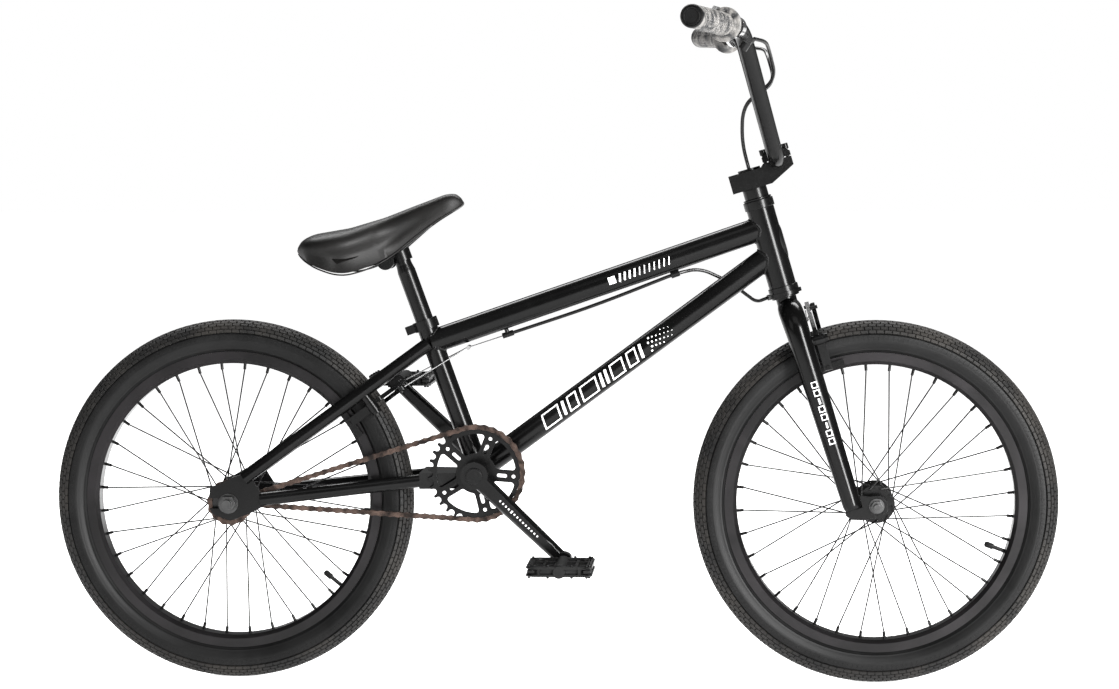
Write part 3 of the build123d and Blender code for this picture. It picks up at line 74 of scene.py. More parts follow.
# ---------------------------------------------------------------- sizes, in millimetres
HEAD_ANGLE = 73.8
SEAT_ANGLE = 70.1
FORK_OFFSET = 40.0
HEAD_LOW = 324.0
HEAD_HIGH = 436.0
HEAD_TUBE_RADIUS = 19.2
TOP_TUBE_RADIUS = 17.0
DOWN_TUBE_RADIUS = 16.3
SEAT_TUBE_RADIUS = 14.3
BRACKET_SHELL_RADIUS = 22.5
TOP_TUBE_REAR_UP = 191.0
TOP_TUBE_FRONT_UP = HEAD_HIGH - 27.0
DOWN_TUBE_FRONT_UP = HEAD_LOW + 47.0
BAR_RADIUS = 11.1
CROSSBAR_RADIUS = 8.5
STEM_REACH = 40.0
STEM_BAR_UP = 494.0
GRIP_LENGTH = 132.0
FIN_RADIUS = 15.0
FIN_LIFT = 0.25
TYRE_RING_RADIUS = 228.0
TREAD_INSET = 0.2
TREAD_GAPS = (1.5, 1.25)
RIB_INSET = 0.15
RIB_ANGLE = 85.5
VALVE_LENGTH = 41.0
TYRE_SECTION_RADIUS = 25.0
RIM_BEAD_RADIUS = 204.0
CHAIN_PITCH = 12.7
LINK_END_RADIUS = 4.05
LINK_WAIST = 2.7
LINK_PLATE_THICKNESS = 1.0
INNER_PLATE_OUT = 1.65
OUTER_PLATE_OUT = 2.75
CHAIN_LINE = 46.0
SPROCKET_TEETH = 32
COG_TEETH = 14
BIG_STEPS = 17
SMALL_STEPS = 13
RUN_LINKS = 26
CRANK_LENGTH = 170.0
CRANK_ANGLE = -43.6
ARM_PLANE = 71.0
PEDAL_WIDTH = 95.0
PEDAL_LENGTH = 90.0
PEDAL_HEIGHT = 19.0
PEDAL_GAP = 17.0
SADDLE_TILT = 12.0
VALVE_ANGLES = {"front": -20.9, "rear": -39.5}


# ---------------------------------------------------------------- places
def middle(node):
    """The middle of a node's box, in millimetres."""
    low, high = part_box(node)
    return (low + high) / (2 * MM)


def flat(point):
    """A point moved into the centre plane."""
    return Vector((point.x, 0, point.z))


FRONT_AXLE = flat(middle("front_rim"))
REAR_AXLE = flat(middle("rear_rim"))
BRACKET = flat(middle("bottom_bracket_shell"))
STEER_UP = Vector((-cos(radians(HEAD_ANGLE)), 0, sin(radians(HEAD_ANGLE))))
STEER_AHEAD = Vector((sin(radians(HEAD_ANGLE)), 0, cos(radians(HEAD_ANGLE))))
STEER_FOOT = FRONT_AXLE - STEER_AHEAD * FORK_OFFSET
SEAT_UP = Vector((-cos(radians(SEAT_ANGLE)), 0, sin(radians(SEAT_ANGLE))))
SEAT_BACK = Vector((-SEAT_UP.z, 0, SEAT_UP.x))


def steer(ahead, side, up):
    """A point by its distance ahead of the steering axis, its Y, and its height up the axis."""
    return STEER_FOOT + STEER_AHEAD * ahead + Y_AXIS * side + STEER_UP * up


def seat_point(back, side, up):
    """A point by its distance behind the seat tube's axis, its Y, and its distance up."""
    return BRACKET + SEAT_UP * up + SEAT_BACK * back + Y_AXIS * side


TOP_TUBE = (seat_point(0, 0, TOP_TUBE_REAR_UP), steer(0, 0, TOP_TUBE_FRONT_UP))
DOWN_TUBE = (BRACKET.copy(), steer(0, 0, DOWN_TUBE_FRONT_UP))
CRANK_WAY = Vector((cos(radians(CRANK_ANGLE)), 0, sin(radians(CRANK_ANGLE))))
BAR_CLAMP = steer(STEM_REACH, 0, STEM_BAR_UP)
BAR_FOOT = BAR_CLAMP + Vector((0, 48, 0))
BAR_SHOULDER = BAR_CLAMP + Vector((-47.5, 160, 174))
BAR_TIP = Vector((BAR_CLAMP.x - 109, 352, BAR_CLAMP.z + 182.5))
GRIP_WAY = (BAR_TIP - BAR_SHOULDER).normalized()
CROSSBAR_SHARE = 0.6


def on_side(point, side):
    """A point of the left (+Y) side, or its mirror image when side is -1."""
    return Vector((point.x, point.y * side, point.z))


def helper_across(axis):
    """A direction that is well away from an axis."""
    return X_AXIS if abs(axis.x) < 0.9 else Z_AXIS


def held(value):
    """A share held between nought and one."""
    return min(max(value, 0.0), 1.0)


def axes(origin, x_way, z_way):
    """A matrix whose X and Z run along two directions, the X made square to the Z."""
    z_axis = z_way.normalized()
    x_axis = (x_way - z_axis * x_way.dot(z_axis)).normalized()
    y_axis = z_axis.cross(x_axis)
    matrix = Matrix((x_axis, y_axis, z_axis)).transposed().to_4x4()
    matrix.translation = origin
    return matrix


# ---------------------------------------------------------------- node graphs
class Value:
    """A node's output, which takes part in arithmetic with numbers and other outputs."""

    def __init__(self, graph, socket):
        self.graph = graph
        self.socket = socket

    def math(self, operation, *values):
        return self.graph.add("ShaderNodeMath", {"operation": operation},
                              dict(enumerate(values))).out()

    def __add__(self, other):
        return self.math("ADD", self, other)

    def __radd__(self, other):
        return self.math("ADD", other, self)

    def __sub__(self, other):
        return self.math("SUBTRACT", self, other)

    def __rsub__(self, other):
        return self.math("SUBTRACT", other, self)

    def __mul__(self, other):
        return self.math("MULTIPLY", self, other)

    def __rmul__(self, other):
        return self.math("MULTIPLY", other, self)

    def __truediv__(self, other):
        return self.math("DIVIDE", self, other)

    def __rtruediv__(self, other):
        return self.math("DIVIDE", other, self)

    def sine(self):
        return self.math("SINE", self)

    def cosine(self):
        return self.math("COSINE", self)

    def floor(self):
        return self.math("FLOOR", self)

    def modulo(self, other):
        return self.math("FLOORED_MODULO", self, other)

    def stretched(self, low, high, to_low=0.0, to_high=1.0):
        """The value mapped smoothly from one range to another, and held inside it."""
        inputs = {"Value": self, "From Min": low, "From Max": high, "To Min": to_low,
                  "To Max": to_high}
        settings = {"interpolation_type": "SMOOTHSTEP"}
        return self.graph.add("ShaderNodeMapRange", settings, inputs).out()


class Node:
    """A node that has been added, with its outputs."""

    def __init__(self, graph, node):
        self.graph = graph
        self.node = node

    def out(self, key=0):
        return Value(self.graph, self.node.outputs[key])


class Graph:
    """A node tree, with one method that adds any node."""

    def __init__(self, tree):
        self.tree = tree

    def add(self, kind, settings=None, inputs=None):
        node = self.tree.nodes.new(kind)
        for name, value in (settings or {}).items():
            setattr(node, name, value)
        for key, value in (inputs or {}).items():
            if isinstance(value, Value):
                self.tree.links.new(value.socket, node.inputs[key])
            else:
                node.inputs[key].default_value = value
        return Node(self, node)

    def vector(self, x, y, z):
        return self.add("ShaderNodeCombineXYZ", None, {"X": x, "Y": y, "Z": z}).out()

    def vector_math(self, operation, first, second):
        return self.add("ShaderNodeVectorMath", {"operation": operation},
                        {0: first, 1: second}).out()


MIX_COLOUR_A, MIX_COLOUR_B, MIX_COLOUR_OUT = 6, 7, 2


class Finish(Graph):
    """A material, its texture helpers and its one shader."""

    def __init__(self, name):
        self.material = bpy.data.materials.new(name)
        self.material.use_nodes = True
        super().__init__(self.material.node_tree)
        self.tree.nodes.clear()
        self.place = self.add("ShaderNodeTexCoord").out("Object")

    def noise(self, scale, detail=3.0, distortion=0.0, place=None):
        inputs = {"Vector": place or self.place, "Scale": scale, "Detail": detail,
                  "Distortion": distortion}
        return self.add("ShaderNodeTexNoise", None, inputs).out("Fac")

    def cells(self, scale, feature="F1", place=None):
        inputs = {"Vector": place or self.place, "Scale": scale}
        return self.add("ShaderNodeTexVoronoi", {"feature": feature}, inputs).out("Distance")

    def squeezed(self, x, y, z):
        """The place with each axis scaled, for streaks."""
        return self.vector_math("MULTIPLY", self.place, (x, y, z))

    def mixed(self, factor, first, second):
        inputs = {0: factor, MIX_COLOUR_A: first, MIX_COLOUR_B: second}
        return self.add("ShaderNodeMix", {"data_type": "RGBA"}, inputs).out(MIX_COLOUR_OUT)

    def bump(self, height, strength, distance, under=None):
        inputs = {"Height": height, "Strength": strength, "Distance": distance}
        if under is not None:
            inputs["Normal"] = under
        return self.add("ShaderNodeBump", None, inputs).out()

    def shade(self, colour, roughness, normal=None, **constants):
        inputs = {"Base Color": colour, "Roughness": roughness}
        if normal is not None:
            inputs["Normal"] = normal
        for name, value in constants.items():
            inputs[name.replace("_", " ")] = value
        shader = self.add("ShaderNodeBsdfPrincipled", None, inputs).out()
        self.add("ShaderNodeOutputMaterial", None, {"Surface": shader})
        return self.material


def grey(level, alpha=1.0):
    return (level, level, level, alpha)


def coated(name, dark, light, roughness, coat, peel=1.0, specular=0.16):
    """Paint or a hard coat over metal: faint orange peel, and marks in the gloss."""
    f = Finish(name)
    broad = f.noise(9.0, 4.0, 0.6)
    fine = f.noise(420.0, 2.0)
    speck = f.noise(1900.0, 1.0)
    tone = f.mixed(broad.stretched(0.3, 0.75), grey(dark), grey(light))
    gloss = roughness + (broad - 0.5) * 0.10 + (speck - 0.5) * 0.05
    normal = f.bump(fine, 0.10 * peel, 0.0003)
    return f.shade(tone, gloss, normal, Specular_IOR_Level=specular, Coat_Weight=coat,
                   Coat_Roughness=0.12)


def metal(name, dark, light, roughness, streak=(1.0, 1.0, 1.0)):
    """Bare metal with fine machining streaks and dull patches."""
    f = Finish(name)
    broad = f.noise(26.0, 4.0, 0.4)
    lines = f.noise(900.0, 2.0, 0.0, f.squeezed(*streak))
    tone = f.mixed(broad.stretched(0.3, 0.7), grey(dark), grey(light))
    gloss = roughness + (broad - 0.5) * 0.16 + (lines - 0.5) * 0.10
    return f.shade(tone, gloss, f.bump(lines, 0.10, 0.0001), Metallic=1.0)


def rubber(name, dark, light, roughness, grain, warmth=0.0, specular=0.3):
    """Moulded rubber: fine grain, dusty patches."""
    f = Finish(name)
    broad = f.noise(14.0, 5.0, 0.8)
    fine = f.noise(grain, 3.0)
    dusty = (light * (1 + warmth), light, light * (1 - warmth), 1)
    tone = f.mixed(broad.stretched(0.3, 0.7), grey(dark), dusty)
    tone = f.mixed(fine.stretched(0.55, 0.9, 0.0, 0.35), tone, dusty)
    gloss = roughness + (broad - 0.5) * 0.15
    return f.shade(tone, gloss, f.bump(fine, 0.35, 0.0004), Specular_IOR_Level=specular)


def grip_finish():
    """Smoky marbled rubber, swirled before moulding."""
    f = Finish("grip_marbled_rubber")
    swirl = f.noise(26.0, 5.0, 3.0)
    wisps = f.noise(80.0, 4.0, 2.0)
    tone = f.mixed(swirl.stretched(0.36, 0.62), (0.012, 0.013, 0.014, 1), (0.165, 0.158, 0.15, 1))
    tone = f.mixed(wisps.stretched(0.45, 0.8, 0.0, 0.6), tone, (0.05, 0.05, 0.052, 1))
    gloss = 0.42 + (wisps - 0.5) * 0.2
    return f.shade(tone, gloss, f.bump(f.noise(700.0), 0.2, 0.0003), Specular_IOR_Level=0.35)


def saddle_finish():
    """Pebbled leatherette with rubbed high spots."""
    f = Finish("saddle_leatherette")
    broad = f.noise(16.0, 4.0, 0.5)
    pebbles = f.cells(620.0)
    creases = f.noise(60.0, 5.0, 1.0)
    tone = f.mixed(broad.stretched(0.3, 0.7), (0.0022, 0.0021, 0.002, 1),
                   (0.0046, 0.0043, 0.004, 1))
    tone = f.mixed(pebbles.stretched(0.2, 0.6, 0.3, 0.0), tone, (0.008, 0.0075, 0.007, 1))
    gloss = 0.45 + (broad - 0.5) * 0.12
    normal = f.bump(pebbles, 0.25, 0.0004, f.bump(creases, 0.10, 0.001))
    return f.shade(tone, gloss, normal, Specular_IOR_Level=0.16)


def chain_finish():
    """Brown-tinted steel links, oily between the plates."""
    f = Finish("chain_brown_steel")
    broad = f.noise(60.0, 4.0, 0.8)
    speck = f.noise(900.0, 2.0)
    tone = f.mixed(broad.stretched(0.3, 0.7), (0.010, 0.0075, 0.0065, 1), (0.095, 0.064, 0.052, 1))
    tone = f.mixed(speck.stretched(0.5, 0.8, 0.0, 0.6), tone, (0.008, 0.007, 0.006, 1))
    return f.shade(tone, 0.38 + (speck - 0.5) * 0.2, f.bump(speck, 0.15, 0.0002), Metallic=0.8)


def rim_finish():
    """Black anodised rim with a faint warm sheen."""
    f = Finish("rim_anodised")
    broad = f.noise(12.0, 4.0, 0.5)
    lines = f.noise(1300.0, 2.0)
    tone = f.mixed(broad.stretched(0.3, 0.7), (0.008, 0.0076, 0.0078, 1),
                   (0.016, 0.0145, 0.0155, 1))
    gloss = 0.3 + (broad - 0.5) * 0.08 + (lines - 0.5) * 0.05
    return f.shade(tone, gloss, f.bump(lines, 0.05, 0.0001), Metallic=0.7)


def print_finish():
    """White ink of a printed graphic, slightly worn."""
    f = Finish("printed_white")
    worn = f.noise(240.0, 4.0, 0.5)
    tone = f.mixed(worn.stretched(0.3, 0.8), grey(0.8), grey(0.66))
    return f.shade(tone, 0.42 + (worn - 0.5) * 0.2, f.bump(worn, 0.05, 0.0001))


FINISHES = {}


def make_finishes():
    """Builds every finish once."""
    FINISHES.update(
        frame_paint=coated("frame_satin_black", 0.0014, 0.003, 0.2, 0.03, 1.0, 0.14),
        black_metal=coated("parts_black_coat", 0.0016, 0.0034, 0.26, 0.03, 0.6, 0.15),
        crank_black=coated("crank_gloss_black", 0.0014, 0.003, 0.18, 0.06, 0.5, 0.13),
        bare_steel=metal("zinc_steel", 0.2, 0.36, 0.36, (1, 0.1, 1)),
        dark_steel=metal("dark_steel", 0.03, 0.075, 0.34, (1, 0.1, 1)),
        polished_alloy=metal("polished_alloy", 0.6, 0.78, 0.2),
        rim_alloy=rim_finish(),
        tyre_rubber=rubber("tyre_sidewall", 0.0026, 0.0052, 0.48, 800.0, 0.0, 0.15),
        tread_rubber=rubber("tyre_tread", 0.006, 0.017, 0.62, 1100.0, 0.1, 0.2),
        grip_rubber=grip_finish(),
        black_plastic=rubber("moulded_plastic", 0.0028, 0.006, 0.36, 1500.0, 0.0, 0.2),
        saddle_cover=saddle_finish(),
        chain_steel=chain_finish(),
        cable_housing=coated("housing_gloss_black", 0.004, 0.008, 0.2, 0.1, 0.4),
        printed_white=print_finish(),
    )


# ---------------------------------------------------------------- shapes
def ring_faces(first, second, count):
    """Quads between two rings of vertex numbers."""
    return [(first + i, first + (i + 1) % count, second + (i + 1) % count,
             second + i) for i in range(count)]


def lofted(rings):
    """Points and faces of a form through rings of equal length, closed at both ends."""
    count = len(rings[0])
    points = [point for ring in rings for point in ring]
    faces = []
    for index in range(1, len(rings)):
        faces += ring_faces((index - 1) * count, index * count, count)
    faces.append(tuple(range(count)))
    faces.append(tuple(range(len(points) - 1, len(points) - count - 1, -1)))
    return points, faces


def curve_points(points, steps):
    """Points on a smooth curve through given (point, radius) pairs."""
    result = []
    last = len(points) - 1
    for index in range(last):
        before, start = points[max(index - 1, 0)], points[index]
        end, after = points[index + 1], points[min(index + 2, last)]
        for step in range(steps):
            t = step / steps
            weights = (-0.5 * t + t * t - 0.5 * t**3, 1 - 2.5 * t * t + 1.5 * t**3,
                       0.5 * t + 2 * t * t - 1.5 * t**3, -0.5 * t * t + 0.5 * t**3)
            place = sum((p[0] * w for p, w in zip((before, start, end, after), weights)),
                        Vector((0, 0, 0)))
            radius = sum(p[1] * w for p, w in zip((before, start, end, after), weights))
            result.append((place, radius))
    result.append(points[-1])
    return result


class Shape:
    """Closed forms gathered in millimetres and made into one piece."""

    def __init__(self):
        self.points = []
        self.faces = []
        self.slots = []

    def add(self, points, faces, slot=0):
        start = len(self.points)
        self.points.extend(Vector(point) for point in points)
        self.faces.extend(tuple(start + index for index in face) for face in faces)
        self.slots.extend([slot] * len(faces))

    def tube(self, stations, sides=24, slot=0, flatness=1.0, across=Y_AXIS):
        """A closed tube through (point, radius) stations, squashed square to a direction."""
        rings = []
        for index, (centre, radius) in enumerate(stations):
            before = stations[max(index - 1, 0)][0]
            after = stations[min(index + 1, len(stations) - 1)][0]
            way = (after - before).normalized()
            wide = (across - way * across.dot(way)).normalized()
            deep = way.cross(wide)
            turns = [2 * pi * side / sides for side in range(sides)]
            rings.append([centre + wide * cos(turn) * radius + deep * sin(turn) * radius * flatness
                          for turn in turns])
        self.add(*lofted(rings), slot)

    def turned(self, profile, origin, axis, steps=32, slot=0):
        """A closed outline of (radius, distance along the axis) turned round the axis."""
        axis = axis.normalized()
        helper = helper_across(axis)
        first = (helper - axis * helper.dot(axis)).normalized()
        second = axis.cross(first)
        points, faces = [], []
        for step in range(steps):
            turn = 2 * pi * step / steps
            outward = first * cos(turn) + second * sin(turn)
            points += [origin + outward * radius + axis * along for radius, along in profile]
        count = len(profile)
        for step in range(steps):
            here, there = step * count, (step + 1) % steps * count
            faces += [(here + i, here + (i + 1) % count, there + (i + 1) % count, there + i)
                      for i in range(count)]
        self.add(points, faces, slot)

    def disc(self, origin, axis, radius, length, chamfer=0.6, sides=24, slot=0):
        """A chamfered round bar from an origin along an axis."""
        axis = axis.normalized()
        way = lambda along: origin + axis * along
        across = helper_across(axis)
        stations = [(way(0), radius - chamfer), (way(chamfer), radius),
                    (way(length - chamfer), radius),
                    (way(length), radius - chamfer)]
        self.straight(stations, axis, across, sides, slot)

    def straight(self, stations, axis, across, sides, slot=0):
        """Rings square to one axis, closed at both ends."""
        wide = (across - axis * across.dot(axis)).normalized()
        deep = axis.cross(wide)
        turns = [2 * pi * side / sides for side in range(sides)]
        rings = [[centre + (wide * cos(turn) + deep * sin(turn)) * radius for turn in turns]
                 for centre, radius in stations]
        self.add(*lofted(rings), slot)

    def plate(self, outline, matrix, low, high, chamfer=0.5, slot=0):
        """A flat outline with its Z from low to high, its edges chamfered inwards."""
        centre = sum((Vector((x, y)) for x, y in outline), Vector((0, 0))) / len(outline)
        size = max((Vector((x, y)) - centre).length for x, y in outline)
        shrink = 1 - chamfer / size
        small = [centre + (Vector((x, y)) - centre) * shrink for x, y in outline]
        full = [Vector((x, y)) for x, y in outline]
        levels = ((small, low), (full, low + chamfer), (full, high - chamfer), (small, high))
        rings = [[matrix @ Vector((point.x, point.y, height)) for point in loop]
                 for loop, height in levels]
        self.add(*lofted(rings), slot)

    def block(self, matrix, size, chamfer=0.8, slot=0):
        """A chamfered block centred on a matrix."""
        x, y, z = (value / 2 for value in size)
        cut = min(chamfer, x * 0.9, y * 0.9)
        outline = [(x - cut, -y), (x, -y + cut), (x, y - cut), (x - cut, y), (-x + cut, y),
                   (-x, y - cut),
                   (-x, -y + cut), (-x + cut, -y)]
        self.plate(outline, matrix, -z, z, min(chamfer, z * 0.8), slot)

    def mesh(self, name, smooth_angle=38.0):
        mesh = bpy.data.meshes.new(name)
        mesh.from_pydata([point * MM for point in self.points], [], self.faces)
        mesh.polygons.foreach_set("material_index", self.slots)
        tidy(mesh, smooth_angle)
        return mesh


def tidy(mesh, smooth_angle=38.0):
    """Turns every closed form's faces outwards and shades it smooth up to an angle."""
    work = bmesh.new()
    work.from_mesh(mesh)
    bmesh.ops.recalc_face_normals(work, faces=work.faces[:])
    work.to_mesh(mesh)
    work.free()
    mesh.shade_smooth()
    mesh.set_sharp_from_angle(angle=radians(smooth_angle))


def put(name, mesh, finishes, body, nodes=()):
    """A piece with a slot for each finish, fixed to a body in place of some nodes."""
    mesh.name = name
    mesh.materials.clear()
    for finish in finishes:
        mesh.materials.append(FINISHES[finish])
    piece = bpy.data.objects.new(name, mesh)
    bpy.context.scene.collection.objects.link(piece)
    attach(piece, body)
    if nodes:
        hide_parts(*nodes)
    return piece


# ---------------------------------------------------------------- geometry node trees
def new_tree(name, sockets):
    """A geometry node tree with named inputs of given kinds and one geometry output."""
    tree = bpy.data.node_groups.new(name, "GeometryNodeTree")
    tree.interface.new_socket("Geometry", in_out="INPUT", socket_type="NodeSocketGeometry")
    for socket_name, kind, default in sockets:
        socket = tree.interface.new_socket(socket_name, in_out="INPUT", socket_type=kind)
        if default is not None:
            socket.default_value = default
    tree.interface.new_socket("Geometry", in_out="OUTPUT", socket_type="NodeSocketGeometry")
    return Graph(tree)


def finish_tree(graph, points, template, rotation, scale, material):
    """Instances on points, realised, with the material set."""
    inputs = {"Points": points, "Instance": template, "Rotation": rotation, "Scale": scale}
    placed = graph.add("GeometryNodeInstanceOnPoints", None, inputs).out()
    real = graph.add("GeometryNodeRealizeInstances", None, {"Geometry": placed}).out()
    painted = graph.add("GeometryNodeSetMaterial", None,
                        {"Geometry": real, "Material": material}).out()
    graph.add("NodeGroupOutput", None, {"Geometry": painted})
    return graph.tree


def axes_rotation(graph, up, way):
    settings = {"primary_axis": "Z", "secondary_axis": "X"}
    return graph.add("FunctionNodeAxesToRotation", settings, {0: up, 1: way}).out()


def jitter(graph, amount, seed):
    """A random scale near one for each instance."""
    settings = {"data_type": "FLOAT"}
    inputs = {"Seed": seed, 2: 1.0 - amount, 3: 1.0 + amount}
    return graph.add("FunctionNodeRandomValue", settings, inputs).out(1)


def ring_tree():
    """Rows of templates round a tyre: each row goes round the axle, the rows across the section."""
    graph = new_tree("rows_round_a_ring", [
        ("Centre", "NodeSocketVector", None),
        ("Ring radius", "NodeSocketFloat", 0.2),
        ("Section radius", "NodeSocketFloat", 0.02),
        ("Blocks in a row", "NodeSocketInt", 100),
        ("Rows", "NodeSocketInt", 3),
        ("Row angle", "NodeSocketFloat", 0.2),
        ("Size variation", "NodeSocketFloat", 0.04),
        ("Seed", "NodeSocketInt", 1),
        ("Material", "NodeSocketMaterial", None),
    ])
    given = graph.add("NodeGroupInput")
    blocks, rows = given.out("Blocks in a row"), given.out("Rows")
    index = graph.add("GeometryNodeInputIndex").out()
    row = (index / blocks + 0.0001).floor()
    turn = (index - row * blocks + row.modulo(2.0) * 0.5) * (2 * pi) / blocks
    lean = (row - (rows - 1.0) * 0.5) * given.out("Row angle")
    reach = given.out("Ring radius") + given.out("Section radius") * lean.cosine()
    place = graph.vector(reach * turn.cosine(), given.out("Section radius") * lean.sine(),
                         reach * turn.sine())
    place = graph.vector_math("ADD", place, given.out("Centre"))
    up = graph.vector(lean.cosine() * turn.cosine(), lean.sine(), lean.cosine() * turn.sine())
    way = graph.vector(0.0 - turn.sine(), 0.0, turn.cosine())
    points = graph.add("GeometryNodePoints", None, {"Count": rows * blocks}).out()
    points = graph.add("GeometryNodeSetPosition", None,
                       {"Geometry": points, "Position": place}).out()
    scale = jitter(graph, given.out("Size variation"), given.out("Seed"))
    return finish_tree(graph, points, given.out("Geometry"), axes_rotation(graph, up, way), scale,
                       given.out("Material"))


def marks_tree():
    """A template at each vertex of the input, turned by the vertex's own "way" and "up"."""
    graph = new_tree("templates_on_marks", [
        ("Template", "NodeSocketObject", None),
        ("Size variation", "NodeSocketFloat", 0.0),
        ("Seed", "NodeSocketInt", 1),
        ("Material", "NodeSocketMaterial", None),
    ])
    given = graph.add("NodeGroupInput")
    named = lambda name: graph.add("GeometryNodeInputNamedAttribute", {"data_type": "FLOAT_VECTOR"},
                                   {"Name": name}).out()
    template = graph.add("GeometryNodeObjectInfo", None,
                         {"Object": given.out("Template")}).out("Geometry")
    scale = jitter(graph, given.out("Size variation"), given.out("Seed"))
    return finish_tree(graph, given.out("Geometry"), template,
                       axes_rotation(graph, named("up"), named("way")),
                       scale, given.out("Material"))


TREES = {}


def tree_named(name, maker):
    if name not in TREES:
        TREES[name] = maker()
    return TREES[name]


def grown(name, mesh, tree, values):
    """The mesh that a tree makes from a mesh, with no modifier left on it."""
    source = bpy.data.objects.new(name + "_source", mesh)
    bpy.context.scene.collection.objects.link(source)
    modifier = source.modifiers.new("nodes", "NODES")
    modifier.node_group = tree
    for item in tree.interface.items_tree:
        if item.in_out == "INPUT" and item.name in values:
            modifier[item.identifier] = values[item.name]
    graph = bpy.context.evaluated_depsgraph_get()
    result = bpy.data.meshes.new_from_object(source.evaluated_get(graph))
    bpy.data.objects.remove(source)
    for attribute in ("way", "up"):
        if attribute in result.attributes:
            result.attributes.remove(result.attributes[attribute])
    if not result.polygons:
        raise RuntimeError(f"the node tree {tree.name} made nothing for {name}")
    tidy(result)
    return result


def on_marks(name, marks, template, finish, variation=0.0, seed=3):
    """A mesh of templates at marks, each a (place, way, up) in millimetres."""
    mesh = bpy.data.meshes.new(name + "_marks")
    mesh.from_pydata([place * MM for place, _, _ in marks], [], [])
    for key, column in (("way", 1), ("up", 2)):
        layer = mesh.attributes.new(key, "FLOAT_VECTOR", "POINT")
        layer.data.foreach_set("vector", [value for mark in marks for value in mark[column]])
    source = bpy.data.objects.new(name + "_template", template.mesh(name + "_template"))
    values = {"Template": source, "Size variation": variation, "Seed": seed,
              "Material": FINISHES[finish]}
    result = grown(name, mesh, tree_named("marks", marks_tree), values)
    bpy.data.objects.remove(source)
    return result


# ---------------------------------------------------------------- softened copies of metal parts
def baked(source):
    """A plain mesh of an object with its modifiers, in place of the object."""
    graph = bpy.context.evaluated_depsgraph_get()
    result = bpy.data.meshes.new_from_object(source.evaluated_get(graph))
    bpy.data.objects.remove(source)
    return result


def softened(node, width):
    """A copy of a node's mesh, its triangles merged and its edges rounded."""
    mesh = frame["nodes"][node].data.copy()
    work = bmesh.new()
    work.from_mesh(mesh)
    bmesh.ops.remove_doubles(work, verts=work.verts[:], dist=2e-6)
    bmesh.ops.dissolve_degenerate(work, dist=1e-6, edges=work.edges[:])
    bmesh.ops.dissolve_limit(work, angle_limit=radians(0.5), verts=work.verts[:],
                             edges=work.edges[:])
    bmesh.ops.recalc_face_normals(work, faces=work.faces[:])
    work.to_mesh(mesh)
    work.free()
    source = bpy.data.objects.new(node + "_source", mesh)
    bpy.context.scene.collection.objects.link(source)
    bevel = source.modifiers.new("round", "BEVEL")
    bevel.width = width * MM
    bevel.segments = 2
    bevel.limit_method = "ANGLE"
    bevel.angle_limit = radians(34)
    bevel.use_clamp_overlap = True
    result = baked(source)
    tidy(result, 42.0)
    source = bpy.data.objects.new(node + "_source", result)
    bpy.context.scene.collection.objects.link(source)
    weighted = source.modifiers.new("flat_faces", "WEIGHTED_NORMAL")
    weighted.keep_sharp = True
    result = baked(source)
    for polygon in result.polygons:
        polygon.material_index = 0
    return result


# Each row: body, finish, material slot, then the nodes with the widths of their rounded edges.
SOFT_GROUPS = (
    ("steering_body", "black_metal", "black_metal",
     {"stem": 1.6, "stem_cap": 1.4, "stem_bolts": 0.5, "headset_races": 0.7}),
    ("frame", "black_metal", "black_metal", {"headset_cups": 0.8}),
    ("steering_body", "frame_paint", "frame_paint", {"fork_dropouts": 0.9}),
    ("frame", "frame_paint", "frame_paint", {"rear_dropouts": 0.9}),
    ("frame", "black_metal", "black_metal", {"seat_clamp": 0.8}),
    ("frame", "frame_paint", "frame_paint", {"bottom_bracket_shell": 0.8}),
    ("crankset", "black_metal", "black_metal", {"sprocket": 0.35}),
    ("crankset", "crank_black", "black_metal", {"right_crank_arm": 2.2, "left_crank_arm": 2.2}),
    ("crankset", "black_metal", "black_metal", {"crank_spindle": 0.8}),
    ("rear_driver", "dark_steel", "bare_steel", {"rear_cog": 0.4}),
    ("steering_body", "dark_steel", "bare_steel", {"front_axle": 0.5}),
    ("frame", "dark_steel", "bare_steel", {"rear_axle": 0.5}),
    ("seat_post_body", "black_metal", "black_metal", {"rail_clamp_core": 0.7}),
    ("saddle_body", "black_metal", "black_metal", {"rail_clamp_plates": 0.9}),
    ("steering_body", "polished_alloy", "polished_alloy", {"brake_lever_brackets": 1.3}),
    ("right_lever", "black_metal", "black_metal", {"right_lever_blade": 1.6}),
    ("left_lever", "black_metal", "black_metal", {"left_lever_blade": 1.6}),
    ("front_right_arm", "black_metal", "black_metal", {"front_right_brake_arm": 1.1}),
    ("front_left_arm", "black_metal", "black_metal", {"front_left_brake_arm": 1.1}),
    ("rear_right_arm", "black_metal", "black_metal", {"rear_right_brake_arm": 1.1}),
    ("rear_left_arm", "black_metal", "black_metal", {"rear_left_brake_arm": 1.1}),
    ("frame", "black_metal", "black_metal", {"cable_stops": 0.5}),
)


# ---------------------------------------------------------------- settings
class TyreSettings(bpy.types.PropertyGroup):
    rows: IntProperty(name="Tread rows", description="Rows of blocks across the tyre", default=11,
                      min=3)
    blocks: IntProperty(name="Blocks in a row", description="Blocks round the tyre in one row",
                        default=138,
                        min=20)
    row_angle: FloatProperty(name="Row angle",
                             description="Angle between rows about the tyre's section",
                             default=radians(13.2), subtype="ANGLE", unit="ROTATION")
    block_height: FloatProperty(name="Block height",
                                description="Height of a block above the casing",
                                default=0.0024, subtype="DISTANCE", unit="LENGTH")
    ribs: IntProperty(name="Sidewall ribs", description="Moulded ribs round each shoulder",
                      default=210, min=10)


class GripSettings(bpy.types.PropertyGroup):
    fins: IntProperty(name="Fins", description="Raised fins along one grip", default=15, min=4)
    segments: IntProperty(name="Fin segments", description="Straight segments in one fin",
                          default=22, min=8)


